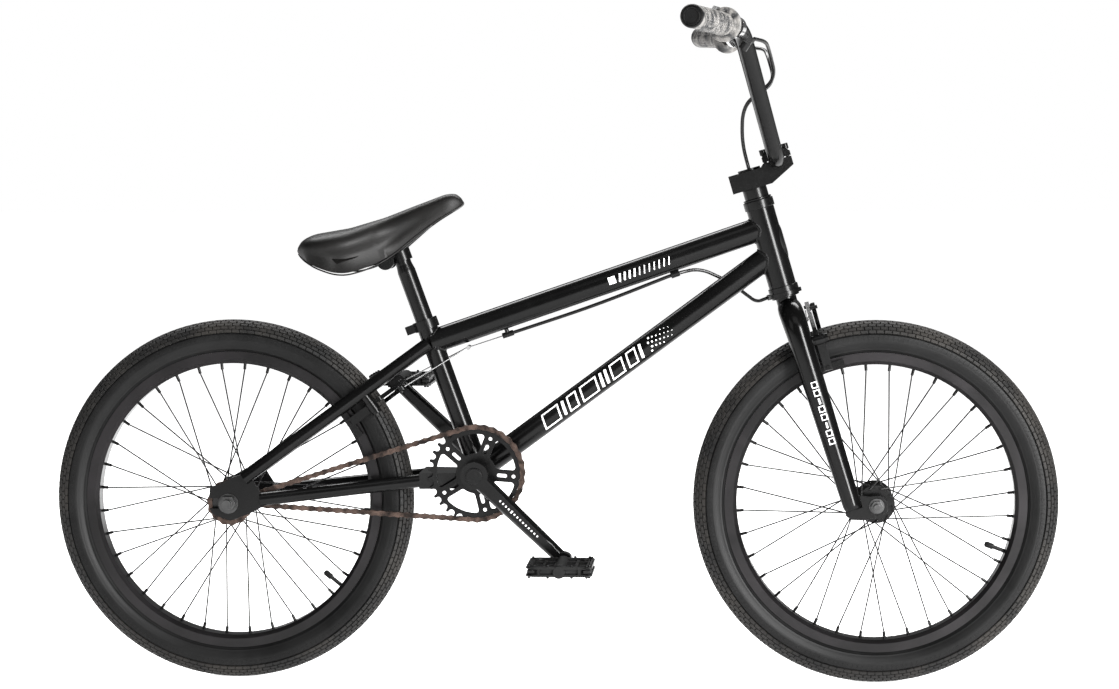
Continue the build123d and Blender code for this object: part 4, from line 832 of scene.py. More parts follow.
class PedalSettings(bpy.types.PropertyGroup):
    pins: IntProperty(name="Pins on a rail", description="Moulded pins along each rail", default=4,
                      min=2)
    pin_height: FloatProperty(name="Pin height", description="How far a pin stands out",
                              default=0.0026,
                              subtype="DISTANCE", unit="LENGTH")


class WeldSettings(bpy.types.PropertyGroup):
    ripple: FloatProperty(name="Ripple spacing",
                          description="Distance between ripples of a weld bead",
                          default=0.0021, subtype="DISTANCE", unit="LENGTH")
    width: FloatProperty(name="Bead width", description="Width of a weld bead", default=0.0058,
                         subtype="DISTANCE", unit="LENGTH")


class StageSettings(bpy.types.PropertyGroup):
    floor: FloatProperty(name="Floor size", description="Side of the square floor", default=60.0,
                         subtype="DISTANCE", unit="LENGTH")
    room_light: FloatProperty(name="Room light",
                              description="Light that the pale room gives by itself",
                              default=0.13, min=0.0)
    lens: FloatProperty(name="Lens", description="Focal length of the camera in millimetres",
                        default=92.8,
                        unit="CAMERA")


# ---------------------------------------------------------------- tyres
def casing_profile(drop):
    """A tyre's section as (radius from the axle, distance along it), lower under the tread."""
    outline = []
    limit = 142.0
    steps = 96
    for step in range(steps + 1):
        angle = -limit + 2 * limit * step / steps
        size = abs(angle)
        under_tread = held((76.0 - size) / 3.0)
        radius = TYRE_SECTION_RADIUS - 0.4 - (drop - 0.3) * under_tread
        for line, rise in ((98.0, 0.45), (103.0, 0.45), (127.0, 0.6)):
            radius += rise * math.exp(-(((size - line) / 1.3) ** 2))
        outline.append((TYRE_RING_RADIUS + radius * cos(radians(angle)),
                        radius * sin(radians(angle))))
    bead = RIM_BEAD_RADIUS + 1.2
    return outline + [(bead, 14.6), (bead, -14.6)]


def valve_profile(length):
    """A threaded stem with a rounded cap, as (radius, distance)."""
    stem = 3.0
    profile = [(0.4, 0), (stem, 0)]
    for turn in range(11):
        along = 3.0 + turn * 2.0
        profile += [(stem, along), (stem - 0.35, along + 1.0)]
    cap = length - 13.0
    return profile + [(stem, cap), (4.2, cap + 0.6), (4.2, length - 2.5), (2.6, length - 0.4),
                      (0.4, length)]


class BMX_OT_tyres(bpy.types.Operator):
    """Casings with their tread blocks, shoulder ribs and valves"""

    bl_idname = "bmx.tyres"
    bl_label = "Tyres"

    def execute(self, context):
        settings = context.scene.bmx_tyres
        drop = settings.block_height / MM
        for end, axle in (("front", FRONT_AXLE), ("rear", REAR_AXLE)):
            valve_angle = VALVE_ANGLES[end]
            casing = Shape()
            casing.turned(casing_profile(drop), axle, Y_AXIS, 220)
            outward = Vector((cos(radians(valve_angle)), 0, sin(radians(valve_angle))))
            casing.turned(valve_profile(VALVE_LENGTH), axle + outward * (RIM_BEAD_RADIUS - 1.0),
                          -outward,
                          16, 1)
            put(f"{end}_casing", casing.mesh(f"{end}_casing"), ["tyre_rubber", "black_metal"],
                f"{end}_wheel", [f"{end}_tyre"])
            self.rows(settings, end, axle, drop)
        return {"FINISHED"}

    def rows(self, settings, end, axle, drop):
        around = 2 * pi * (TYRE_RING_RADIUS + TYRE_SECTION_RADIUS) / settings.blocks
        across = settings.row_angle * TYRE_SECTION_RADIUS
        tall = drop + 0.9
        block = Shape()
        block.block(Matrix.Translation((0, 0, -tall / 2)),
                    (around - TREAD_GAPS[0], across - TREAD_GAPS[1], tall),
                    0.55)
        values = {"Centre": axle * MM, "Ring radius": TYRE_RING_RADIUS * MM,
                  "Section radius": (TYRE_SECTION_RADIUS - TREAD_INSET) * MM,
                  "Blocks in a row": settings.blocks, "Rows": settings.rows,
                  "Row angle": settings.row_angle,
                  "Size variation": 0.012, "Seed": 5, "Material": FINISHES["tread_rubber"]}
        tree = tree_named("ring", ring_tree)
        tread = grown(f"{end}_tread", block.mesh("block"), tree, values)
        put(f"{end}_tread", tread, ["tread_rubber"], f"{end}_wheel", ())
        rib = Shape()
        rib.block(Matrix.Translation((0, 0, -0.5)), (1.5, 5.5, 1.4), 0.3)
        values.update({"Section radius": (TYRE_SECTION_RADIUS - RIB_INSET) * MM, "Rows": 2,
                       "Blocks in a row": settings.ribs, "Row angle": radians(2 * RIB_ANGLE),
                       "Material": FINISHES["tyre_rubber"]})
        ribs = grown(f"{end}_shoulder_ribs", rib.mesh("rib"), tree, values)
        put(f"{end}_shoulder_ribs", ribs, ["tyre_rubber"], f"{end}_wheel", ())


# ---------------------------------------------------------------- chain
def pitch_radius(teeth):
    return CHAIN_PITCH / (2 * sin(pi / teeth))


def straight_pins(start, end):
    return [(start[0] + (end[0] - start[0]) * index / RUN_LINKS,
             start[1] + (end[1] - start[1]) * index / RUN_LINKS)
            for index in range(1, RUN_LINKS)]


def chain_pins():
    """Pin centres of the closed chain, in order."""
    big, small = pitch_radius(SPROCKET_TEETH), pitch_radius(COG_TEETH)
    distance = (BRACKET - REAR_AXLE).length
    tilt = atan2(BRACKET.z - REAR_AXLE.z, BRACKET.x - REAR_AXLE.x)
    big_wrap = BIG_STEPS * 180 / SPROCKET_TEETH
    small_wrap = SMALL_STEPS * 180 / COG_TEETH
    front = []
    for index in range(BIG_STEPS + 1):
        angle = radians(big_wrap - index * 360 / SPROCKET_TEETH)
        front.append((big * cos(angle), big * sin(angle)))
    rear = []
    for index in range(SMALL_STEPS + 1):
        angle = radians(-small_wrap + index * 360 / COG_TEETH)
        rear.append((-distance - small * cos(angle), small * sin(angle)))
    loop = front + straight_pins(front[-1], rear[0]) + rear + straight_pins(rear[-1], front[0])
    return [Vector((BRACKET.x + x * cos(tilt) - z * sin(tilt), -CHAIN_LINE,
                    BRACKET.z + x * sin(tilt) + z * cos(tilt))) for x, z in loop]


def link_outline(end_radius, waist):
    """A waisted link plate from one pin to the next."""
    rear_end = [(end_radius * cos(radians(a)), end_radius * sin(radians(a))) for a in range(65, 296,
                                                                                            33)]
    front_end = [(CHAIN_PITCH + end_radius * cos(radians(a)), end_radius * sin(radians(a)))
                 for a in range(-115, 116, 33)]
    return rear_end + [(CHAIN_PITCH / 2, -waist)] + front_end + [(CHAIN_PITCH / 2, waist)]


def link_template(inner):
    """Plates and rollers of an inner link, or plates and pins of an outer one; X runs along it."""
    link = Shape()
    outline = link_outline(LINK_END_RADIUS, LINK_WAIST)
    flip = Matrix.Rotation(radians(90), 4, "X")
    near, thick = INNER_PLATE_OUT if inner else OUTER_PLATE_OUT, LINK_PLATE_THICKNESS
    for low in (near, -near - thick):
        link.plate(outline, flip, low, low + thick, 0.25)
    for x in (0, CHAIN_PITCH):
        start, radius, length = (-1.6, 3.8, 3.2) if inner else (-4.3, 1.7, 8.6)
        link.disc(Vector((x, start, 0)), Y_AXIS, radius, length, 0.3, 10)
    return link


class BMX_OT_chain(bpy.types.Operator):
    """Inner and outer links along the pins"""

    bl_idname = "bmx.chain"
    bl_label = "Chain"

    def execute(self, context):
        pins = chain_pins()
        for name, first, inner in (("chain_outer_links", 0, False), ("chain_inner_links", 1, True)):
            marks = []
            for index in range(first, len(pins), 2):
                way = (pins[(index + 1) % len(pins)] - pins[index]).normalized()
                marks.append((pins[index], way, Vector((-way.z, 0, way.x))))
            mesh = on_marks(name, marks, link_template(inner), "chain_steel")
            put("waisted_" + name, mesh, ["chain_steel"], "frame", [name])
        return {"FINISHED"}


# ---------------------------------------------------------------- fork
class BMX_OT_fork(bpy.types.Operator):
    """Smooth blades that run out of the crown"""

    bl_idname = "bmx.fork"
    bl_label = "Fork blades"

    def execute(self, context):
        fork = Shape()
        for side in SIDES:
            stations = [(steer(0, side * 1, 291), 15.5), (steer(0.6, side * 13, 289.5), 16.8),
                        (steer(1.4, side * 29, 283.5), 17.2), (steer(2.2, side * 40.5, 269), 17.0),
                        (steer(2.9, side * 45.6, 246), 16.2), (steer(4.2, side * 48.0, 190), 15.6),
                        (steer(6.0, side * 50.6, 100), 14.3), (steer(7.6, side * 52.6, 22), 13.1),
                        (steer(7.9, side * 52.9, 8), 12.4), (steer(8.0, side * 53.0, 4.5), 10.6)]
            fork.tube(curve_points(stations, 7), 40, 0, 1.0, STEER_AHEAD)
        put("smooth_fork_blades", fork.mesh("fork"), ["frame_paint"], "steering_body",
            ["fork_blades"])
        return {"FINISHED"}


# ---------------------------------------------------------------- grips
class BMX_OT_grips(bpy.types.Operator):
    """Flanged grips with fins"""

    bl_idname = "bmx.grips"
    bl_label = "Grips"

    def execute(self, context):
        settings = context.scene.bmx_grips
        body = Shape()
        marks = []
        for side in SIDES:
            way = on_side(GRIP_WAY, side)
            start = on_side(BAR_TIP, side) - way * GRIP_LENGTH
            profile = [(BAR_RADIUS, 0.3), (21.4, 0.3), (22.6, 1.2), (22.9, 2.6), (22.6, 4.0),
                       (21.4, 4.9),
                       (17.0, 5.2), (14.9, 7.5), (14.6, 9.0), (14.6, 118.0), (15.3, 120.0),
                       (15.4, 130.6),
                       (14.6, 131.8), (BAR_RADIUS, 131.8)]
            body.turned(profile, start, way, 48)
            marks += self.fin_marks(settings, start, way)
        put("grip_bodies", body.mesh("grips"), ["grip_rubber"], "steering_body", ["grips"])
        length = 1.04 * 2 * pi * FIN_RADIUS / settings.segments
        fin = Shape()
        fin.block(Matrix.Translation((0, 0, -0.9)), (length, 4.4, 1.8), 0.7)
        mesh = on_marks("grip_fins", marks, fin, "grip_rubber")
        put("grip_fins", mesh, ["grip_rubber"], "steering_body", ())
        self.plugs()
        return {"FINISHED"}

    def plugs(self):
        """A rolled rubber end with a dished black cap in each bar end."""
        plugs = Shape()
        for side in SIDES:
            tip, way = on_side(BAR_TIP, side), on_side(GRIP_WAY, side)
            ring = [(12.2, 0), (15.2, 0), (15.5, 1.2), (15.3, 3.2), (14.2, 4.5), (12.8, 4.6),
                    (12.2, 3.8)]
            cap = [(0.3, 0), (12.0, 0), (12.0, 3.9), (11.2, 4.9), (10.2, 4.7), (9.4, 3.0),
                   (0.3, 2.6)]
            plugs.turned(ring, tip, way, 40, 1)
            plugs.turned(cap, tip, way, 40)
        put("bar_ends", plugs.mesh("bar_ends"), ["black_plastic", "grip_rubber"], "steering_body",
            ["bar_end_plugs"])

    def fin_marks(self, settings, start, way):
        first, last = 13.0, 115.0
        over = (Z_AXIS - way * Z_AXIS.dot(way)).normalized()
        beside = way.cross(over)
        marks = []
        for fin in range(settings.fins):
            along = first + (last - first) * fin / (settings.fins - 1)
            for segment in range(settings.segments):
                turn = 2 * pi * segment / settings.segments
                out = over * cos(turn) + beside * sin(turn)
                marks.append((start + way * along + out * (FIN_RADIUS + FIN_LIFT), out.cross(way),
                              out))
        return marks


# ---------------------------------------------------------------- pedals
class BMX_OT_pedals(bpy.types.Operator):
    """Moulded platforms with rails, webs and pins"""

    bl_idname = "bmx.pedals"
    bl_label = "Pedals"

    def execute(self, context):
        settings = context.scene.bmx_pedals
        for name, side in (("right", -1), ("left", 1)):
            end = BRACKET + CRANK_WAY * CRANK_LENGTH * (-side)
            centre = Vector((end.x, side * (ARM_PLANE + PEDAL_GAP + PEDAL_WIDTH / 2), end.z))
            body = self.platform(centre)
            put(f"{name}_platform", body.mesh(name), ["black_plastic"], f"{name}_pedal_body",
                [f"{name}_pedal"])
            pin = Shape()
            tall = settings.pin_height / MM
            pin.disc(-Z_AXIS, Z_AXIS, 1.8, tall + 0.9, 0.5, 10)
            mesh = on_marks(f"{name}_pins", self.pin_marks(settings, centre), pin, "black_plastic",
                            0.04)
            put(f"{name}_pins", mesh, ["black_plastic"], f"{name}_pedal_body", ())
        return {"FINISHED"}

    def platform(self, centre):
        """Walls sunk between an upper and a lower rail, webs, and a bearing barrel."""
        body = Shape()
        place = lambda x, y, z=0: Matrix.Translation(centre + Vector((x, y, z)))
        half_long, half_wide = PEDAL_LENGTH / 2, PEDAL_WIDTH / 2
        deep, rail = PEDAL_HEIGHT - 5.4, 3.2
        for up in SIDES:
            level = up * (deep - rail) / 2
            for sign in SIDES:
                body.block(place(0, sign * (half_wide - 4.5), level), (PEDAL_LENGTH - 14, 8, rail),
                           1.0)
                body.block(place(sign * (half_long - 4.5), 0, level), (8, PEDAL_WIDTH - 14, rail),
                           1.0)
                for along in SIDES:
                    corner = place(along * (half_long - 9), sign * (half_wide - 9), level)
                    body.block(corner, (17, 17, rail), 5.0)
        for sign in SIDES:
            body.block(place(0, sign * (half_wide - 6.5)), (PEDAL_LENGTH - 12, 3, deep - 2), 0.6)
            body.block(place(sign * (half_long - 6.5), 0), (3, PEDAL_WIDTH - 12, deep - 2), 0.6)
            body.block(place(0, sign * 16), (PEDAL_LENGTH - 12, 4, deep - 3), 1.0)
            for x in (-27, 27):
                body.block(place(x, sign * (half_wide - 4.2)), (4, 7, deep - 1), 0.8)
            body.block(place(sign * 22, 0), (4, PEDAL_WIDTH - 12, deep - 4), 1.0)
            for along in SIDES:
                corner = place(along * (half_long - 9), sign * (half_wide - 9))
                body.block(corner, (14, 14, deep - 2), 4.0)
        body.disc(centre - Y_AXIS * (half_wide - 0.3), Y_AXIS, 9.2, PEDAL_WIDTH - 0.6, 1.6, 32)
        return body

    def pin_marks(self, settings, centre):
        marks = []
        half_long, half_wide, face = PEDAL_LENGTH / 2, PEDAL_WIDTH / 2, PEDAL_HEIGHT / 2 - 2.7
        for up in SIDES:
            out = Vector((0, 0, up))
            for sign in SIDES:
                for index in range(settings.pins):
                    share = index / (settings.pins - 1) * 2 - 1
                    place = centre + Vector((sign * (half_long - 4.5), share * (half_wide - 9),
                                             up * face))
                    marks.append((place, X_AXIS, out))
                for x in (-15, 17, 37):
                    place = centre + Vector((x, sign * (half_wide - 5), up * face))
                    marks.append((place, X_AXIS, out))
        return marks


# ---------------------------------------------------------------- saddle
SADDLE_PIVOT = seat_point(20, 0, 319)
SADDLE_REAR = -118.0
SADDLE_LENGTH = 239.5
SKIRT_SHARE = 0.93
SADDLE_WAY = Vector((cos(radians(SADDLE_TILT)), 0, sin(radians(SADDLE_TILT))))
SADDLE_RISE = Vector((-sin(radians(SADDLE_TILT)), 0, cos(radians(SADDLE_TILT))))
SADDLE_TOP = [(-118, 41), (-114, 49), (-104, 54.5), (-90, 57.5), (-65, 56.5), (-40, 55.5),
              (10, 59.5), (60, 67.5),
              (100, 73.5), (112, 72), (118, 68), (121.5, 58)]
SADDLE_FOOT = [(-118, 38), (-112, 27), (-104, 17), (-92, 8), (-60, -11.5), (-20, -9.5), (14, 2.5),
               (40, 18.5),
               (70, 33), (90, 42), (112, 48.5), (121.5, 55)]
SADDLE_HALF = [(-118, 24), (-114, 38), (-106, 55), (-94, 67), (-80, 72.5), (-64, 72.8), (-48, 70),
               (-30, 61),
               (-16, 52), (0, 41), (16, 33.5), (40, 28.5), (60, 26), (85, 24), (104, 21.5),
               (115, 16), (121.5, 10)]


def read_off(table, at):
    """The value of a table of (position, value) rows at a position."""
    for (x0, y0), (x1, y1) in zip(table, table[1:]):
        if at <= x1:
            share = (at - x0) / (x1 - x0)
            return y0 + (y1 - y0) * share
    return table[-1][1]


def smooth_read(table, at, spread=5.0):
    """The table's value, averaged over a short length so that the form has no corners."""
    low, high = table[0][0], table[-1][0]
    spread = min(spread, at - low, high - at)
    count = 8
    places = [at + spread * step / count for step in range(-count, count + 1)]
    return sum(read_off(table, place) for place in places) / len(places)


class BMX_OT_saddle(bpy.types.Operator):
    """The padded saddle with its moulded edge"""

    bl_idname = "bmx.saddle"
    bl_label = "Saddle"

    def execute(self, context):
        stations, around = 72, 72
        rings = []
        for index in range(stations + 1):
            along = SADDLE_REAR + SADDLE_LENGTH * (0.5 - 0.5 * cos(pi * index / stations))
            rings.append([self.place(along, y, z) for y, z in self.section(along, around)])
        cover = Shape()
        cover.add(*lofted(rings))
        piece = put("padded_saddle", cover.mesh("saddle", 75.0), ["saddle_cover"], "saddle_body",
                    ["saddle"])
        self.trim()
        return {"FINISHED"}

    def place(self, along, side, up):
        return SADDLE_PIVOT + SADDLE_WAY * along + Y_AXIS * side + SADDLE_RISE * up

    def trim(self):
        """A thin moulded edge round the foot of the skirt."""
        edge = Shape()
        for side in SIDES:
            stations = []
            for index in range(60):
                along = -116 + 236 * index / 59
                half = smooth_read(SADDLE_HALF, along, 9.0) * 0.915
                low = smooth_read(SADDLE_FOOT, along, 16.0)
                foot = low + (smooth_read(SADDLE_TOP, along) - low) * 0.06
                stations.append((self.place(along, side * half, foot), 1.1))
            edge.tube(stations, 10, 0, 1.0, SADDLE_RISE)
        put("saddle_edge", edge.mesh("edge"), ["saddle_cover"], "saddle_body", ())

    def section(self, along, around):
        """A closed loop of (y, z): crowned top, rolled edges, skirts, and a hollow underside."""
        top = smooth_read(SADDLE_TOP, along)
        foot = smooth_read(SADDLE_FOOT, along, 16.0)
        half = smooth_read(SADDLE_HALF, along, 9.0)
        tall = top - foot
        waist = 0.16 * held((along + 104) / 40) * held((70 - along) / 60)
        hollow = min(max(tall - 24.0, 0.0), 26.0)
        wall = min(9.0, half * 0.3)
        loop = []
        upper = around * 5 // 8
        for step in range(upper):
            turn = pi * step / (upper - 1)
            y = half * math.copysign(abs(cos(turn)) ** 0.62, cos(turn))
            crown = abs(sin(turn)) ** 0.85
            shoulder = foot + tall * (0.16 + 0.84 * crown ** (0.55 if half > 45 else 0.7))
            height = shoulder if 0 < step < upper - 1 else foot + tall * 0.1
            share = (height - foot) / tall
            pinch = 1 - waist * math.exp(-(((share - 0.42) / 0.17) ** 2))
            loop.append((y * (SKIRT_SHARE + (1 - SKIRT_SHARE) * crown) * pinch, height))
        lower = around - upper
        for step in range(lower):
            share = (step + 1) / (lower + 1)
            y = half * SKIRT_SHARE * (2 * share - 1)
            inner = held((half * SKIRT_SHARE - abs(y)) / max(wall, 0.1))
            rise = hollow * (inner * inner * (3 - 2 * inner))
            loop.append((y, foot + rise))
        return loop


# ---------------------------------------------------------------- welds
def joint_marks(start, end, radius, axis_point, axis_way, axis_radius, spacing):
    """Marks where a tube from start runs into a round bar about an axis near its start."""
    way = (end - start).normalized()
    helper = Y_AXIS if abs(way.y) < 0.9 else Z_AXIS
    wide = (helper - way * helper.dot(way)).normalized()
    deep = way.cross(wide)
    axis_way = axis_way.normalized()
    count = ceil(2 * pi * radius * 1.15 / spacing)
    places = []
    for index in range(count):
        turn = 2 * pi * index / count
        out = wide * cos(turn) + deep * sin(turn)
        ray = start + out * radius - axis_point
        across_ray = ray - axis_way * ray.dot(axis_way)
        across_way = way - axis_way * way.dot(axis_way)
        a = across_way.length_squared
        b = 2 * across_ray.dot(across_way)
        c = across_ray.length_squared - axis_radius**2
        inside = b * b - 4 * a * c
        if inside <= 0:
            continue
        along = (-b + sqrt(inside)) / (2 * a)
        place = start + out * radius + way * along
        from_axis = place - axis_point
        normal = (from_axis - axis_way * from_axis.dot(axis_way)).normalized()
        places.append((place, (normal + out).normalized()))
    marks = []
    for index, (place, up) in enumerate(places):
        after = places[(index + 1) % len(places)][0]
        marks.append((place, (after - place).normalized(), up))
    return marks


class BMX_OT_welds(bpy.types.Operator):
    """Rippled weld beads where the tubes meet"""

    bl_idname = "bmx.welds"
    bl_label = "Welds"

    def execute(self, context):
        settings = context.scene.bmx_welds
        spacing, width = settings.ripple / MM, settings.width / MM
        head, seat = (steer(0, 0, 0), STEER_UP), (BRACKET, SEAT_UP)
        top_rear, top_front = TOP_TUBE
        down_rear, down_front = DOWN_TUBE
        joints = [
            (top_front, top_rear, TOP_TUBE_RADIUS, *head, HEAD_TUBE_RADIUS),
            (down_front, down_rear, DOWN_TUBE_RADIUS, *head, HEAD_TUBE_RADIUS),
            (top_rear, top_front, TOP_TUBE_RADIUS, *seat, SEAT_TUBE_RADIUS),
            (BRACKET, seat_point(0, 0, 120), SEAT_TUBE_RADIUS, BRACKET, Y_AXIS,
             BRACKET_SHELL_RADIUS),
            (BRACKET, down_front, DOWN_TUBE_RADIUS, BRACKET, Y_AXIS, BRACKET_SHELL_RADIUS),
        ]
        marks = [mark for joint in joints for mark in joint_marks(*joint, spacing)]
        template = self.ripple(spacing, width)
        mesh = on_marks("frame_welds", marks, template, "frame_paint", 0.07, 11)
        put("frame_welds", mesh, ["frame_paint"], "frame", ())
        cross = BAR_FOOT + (BAR_SHOULDER - BAR_FOOT) * CROSSBAR_SHARE
        marks = []
        for side in SIDES:
            riser = (on_side(BAR_FOOT, side), on_side(BAR_SHOULDER - BAR_FOOT, side))
            start = on_side(cross, side)
            marks += joint_marks(start, Vector((start.x, 0, start.z)), CROSSBAR_RADIUS, *riser,
                                 BAR_RADIUS,
                                 spacing)
        mesh = on_marks("bar_welds", marks, self.ripple(spacing, width * 0.8), "frame_paint", 0.06,
                        12)
        put("bar_welds", mesh, ["frame_paint"], "steering_body", ())
        return {"FINISHED"}

    def ripple(self, spacing, width):
        """One low rounded ripple of a bead; X runs along the bead."""
        ripple = Shape()
        half = spacing * 0.85
        stations = [(Vector((0, 0, -0.9)), width * 0.46), (Vector((0, 0, 0.1)), width * 0.5),
                    (Vector((0, 0, 0.8)), width * 0.36), (Vector((0, 0, 1.15)), width * 0.14)]
        ripple.straight(stations, Z_AXIS, X_AXIS, 10)
        for point in ripple.points:
            point.x *= half / (width * 0.5)
        return ripple


# ---------------------------------------------------------------- printed graphics
class Wrap:
    """A tube's surface: x runs along it, y round it from its drive side, both in millimetres."""

    def __init__(self, start, end, radius, facing, end_radius=None):
        self.start = start
        self.way = (end - start).normalized()
        self.length = (end - start).length
        self.radius = radius
        self.end_radius = radius if end_radius is None else end_radius
        self.out = (facing - self.way * facing.dot(self.way)).normalized()
        self.over = self.way.cross(self.out)
        if self.over.z < 0:
            self.over = -self.over

    def point(self, x, y, lift):
        radius = self.radius + (self.end_radius - self.radius) * x / self.length
        turn = y / radius
        out = self.out * cos(turn) + self.over * sin(turn)
        return self.start + self.way * x + out * (radius + lift)


def strip(shape, wrap, start, end, width, lift=0.12, thick=0.16):
    """A thin closed strip of ink between two (x, y) places on a wrap."""
    start, end = Vector(start), Vector(end)
    way = (end - start).normalized()
    beside = Vector((-way.y, way.x)) * width / 2
    steps = max(2, ceil((end - start).length / 2.0))
    rings = []
    for index in range(steps + 1):
        at = start.lerp(end, index / steps)
        corners = ((at - beside, lift + thick), (at + beside, lift + thick),
                   (at + beside, lift - thick), (at - beside, lift - thick))
        rings.append([wrap.point(corner.x, corner.y, height) for corner, height in corners])
    shape.add(*lofted(rings))


def outlined(shape, wrap, corners, width):
    """Strips round a closed outline, with their ends overlapping at the corners."""
    for index, corner in enumerate(corners):
        after = corners[(index + 1) % len(corners)]
        way = (Vector(after) - Vector(corner)).normalized() * width / 2
        strip(shape, wrap, Vector(corner) - way, Vector(after) + way, width)


class BMX_OT_graphics(bpy.types.Operator):
    """Plain geometric graphics printed on the tubes, fork and crank"""

    bl_idname = "bmx.graphics"
    bl_label = "Printed graphics"

    def execute(self, context):
        frame_print, fork_print, crank_print = Shape(), Shape(), Shape()
        for side in SIDES:
            facing = Vector((0, side, 0))
            self.down_tube(frame_print, Wrap(*DOWN_TUBE, DOWN_TUBE_RADIUS, facing))
            self.top_tube(frame_print, Wrap(*TOP_TUBE, TOP_TUBE_RADIUS, facing))
            self.blade(fork_print, side)
        self.crank(crank_print)
        for name, shape, body in (("frame_print", frame_print, "frame"),
                                  ("fork_print", fork_print, "steering_body"),
                                  ("crank_print", crank_print, "crankset")):
            put(name, shape.mesh(name), ["printed_white"], body, ())
        return {"FINISHED"}

    def down_tube(self, shape, wrap):
        """Slanted frames and bars by turns, breaking up into squares towards the head tube."""
        tall, slant, line = 20.0, 6.0, 2.2
        left = 112.0
        for wide in (26.0, 0.0, 14.0, 26.0, 0.0, 0.0, 20.0, 14.0, 0.0):
            corners = [(left, -tall / 2), (left + wide, -tall / 2), (left + wide + slant, tall / 2),
                       (left + slant, tall / 2)]
            if wide:
                outlined(shape, wrap, corners, line)
            else:
                strip(shape, wrap, corners[0], corners[2], line * 1.8)
            left += wide + 8.5
        for index in range(22):
            along = left + 6 + index * 1.9
            across = tall * (index * 7 % 11 - 5) / 11
            size = 2.6 - index * 0.08
            strip(shape, wrap, (along, across), (along + size, across), size)

    def top_tube(self, shape, wrap):
        """A small solid tile, then a row of slanted dashes in two weights."""
        for row in range(5):
            strip(shape, wrap, (262, row * 2 - 4), (272, row * 2 - 4), 2.1)
        for index in range(11):
            left = 277 + index * 7.2
            width = 2.6 if index < 4 else 1.4
            strip(shape, wrap, (left, -5.5), (left + 3.4, 5.5), width)

    def blade(self, shape, side):
        """A column of small frames and dashes down the blade."""
        wrap = Wrap(steer(4.2, side * 48.0, 190), steer(6.0, side * 50.6, 100), 15.75,
                    Vector((0, side, 0)), 14.5)
        for index in range(8):
            left = 2 + index * 11.5
            if index % 3 == 2:
                strip(shape, wrap, (left, 0), (left + 8, 0), 2.4)
            else:
                outlined(shape, wrap,
                         [(left, -3.6), (left + 7.5, -3.6), (left + 7.5, 3.6), (left, 3.6)], 1.3)

    def crank(self, shape):
        """A row of short dashes along the arm."""
        flat_face = ARM_PLANE + 9.05
        for index in range(14):
            along = 50 + index * 5.4
            tall = 4.2 if index == 4 else 2.4
            centre = BRACKET + CRANK_WAY * along
            matrix = axes(Vector((centre.x, -flat_face, centre.z)), CRANK_WAY, Vector((0, -1, 0)))
            shape.block(matrix, (2.2, tall, 0.24), 0.05)


# ---------------------------------------------------------------- softened parts and head badge
class BMX_OT_details(bpy.types.Operator):
    """Softened metal parts in place of their plain forms, and the head badge"""

    bl_idname = "bmx.details"
    bl_label = "Softened parts"

    def execute(self, context):
        for body, finish, slot, widths in SOFT_GROUPS:
            for node, width in widths.items():
                put("soft_" + node, softened(node, width), [finish], body, [node])
        badge = Shape()
        badge.add(*self.badge())
        put("head_badge", badge.mesh("head_badge"), ["dark_steel"], "frame", ())
        return {"FINISHED"}

    def badge(self):
        """A blank domed oval plate, bent round the front of the head tube."""
        middle_up = (HEAD_LOW + HEAD_HIGH) / 2 + 4
        rings, around, half_tall, half_turn = 6, 48, 23.0, radians(42)
        points, faces = [], []
        for lift in (1, 0):
            for ring in range(1, rings + 1):
                share = ring / rings
                rise = (1.1 * (1 - share**6) + 0.15) if lift else -0.8
                for step in range(around):
                    angle = 2 * pi * step / around
                    turn = half_turn * share * cos(angle)
                    radius = HEAD_TUBE_RADIUS + rise
                    points.append(steer(radius * cos(turn), radius * sin(turn),
                                        middle_up + half_tall * share * sin(angle)))
        for ring in range(rings - 1):
            faces += ring_faces(ring * around, (ring + 1) * around, around)
            faces += ring_faces((rings + ring) * around, (rings + ring + 1) * around, around)
        faces += ring_faces((rings - 1) * around, (2 * rings - 1) * around, around)
        faces += [tuple(range(around)), tuple(range(rings * around, (rings + 1) * around))]
        return points, faces


# ---------------------------------------------------------------- finishes of the plain nodes
NODE_FINISHES = {"pedal_spindles": "bare_steel", "front_spokes": "black_metal",
                 "rear_spokes": "black_metal",
                 "handlebar": "frame_paint"}


class BMX_OT_finishes(bpy.types.Operator):
    """Every node's finish, by its material slot"""

    bl_idname = "bmx.finishes"
    bl_label = "Finishes"

    def execute(self, context):
        slots = {part["node"]: part["material_slot"] for part in frame["record"]["subparts"]}
        for node, item in frame["nodes"].items():
            finish = FINISHES[NODE_FINISHES.get(node, slots[node])]
            for index in range(len(item.data.materials)):
                item.data.materials[index] = finish
            if not item.data.materials:
                item.data.materials.append(finish)
        return {"FINISHED"}


# ---------------------------------------------------------------- stage
CAMERA_PLACE = (0.2729, -4.0074, 0.7435)
CAMERA_YAW, CAMERA_PITCH, CAMERA_ROLL = -3.76, -3.88, -0.17
SENSOR_WIDTH = 36.0
FLOOR_DROP = 0.0006
# Name, place, target, width and height in metres, power in watts.
LIGHTS = (
    ("overhead_rear", (0.0, 2.0, 3.4), (0, 0, 0.4), 4.5, 1.2, 210),
    ("tall_strip", (2.5, -3.3, 1.4), (0.2, 0, 0.6), 1.0, 2.8, 520),
    ("front_high", (0.3, -3.0, 3.8), (0, 0, 0.4), 3.2, 1.6, 22),
    ("broad_left", (-3.2, -3.0, 2.0), (-0.2, 0, 0.4), 2.0, 2.0, 16),
)


def area_light(name, place, target, size, height, power):
    data = bpy.data.lights.new(name, "AREA")
    data.shape = "RECTANGLE"
    data.size = size
    data.size_y = height
    data.energy = power
    lamp = bpy.data.objects.new(name, data)
    lamp.location = place
    lamp.rotation_euler = (Vector(target) - Vector(place)).to_track_quat("-Z", "Y").to_euler()
    bpy.context.scene.collection.objects.link(lamp)


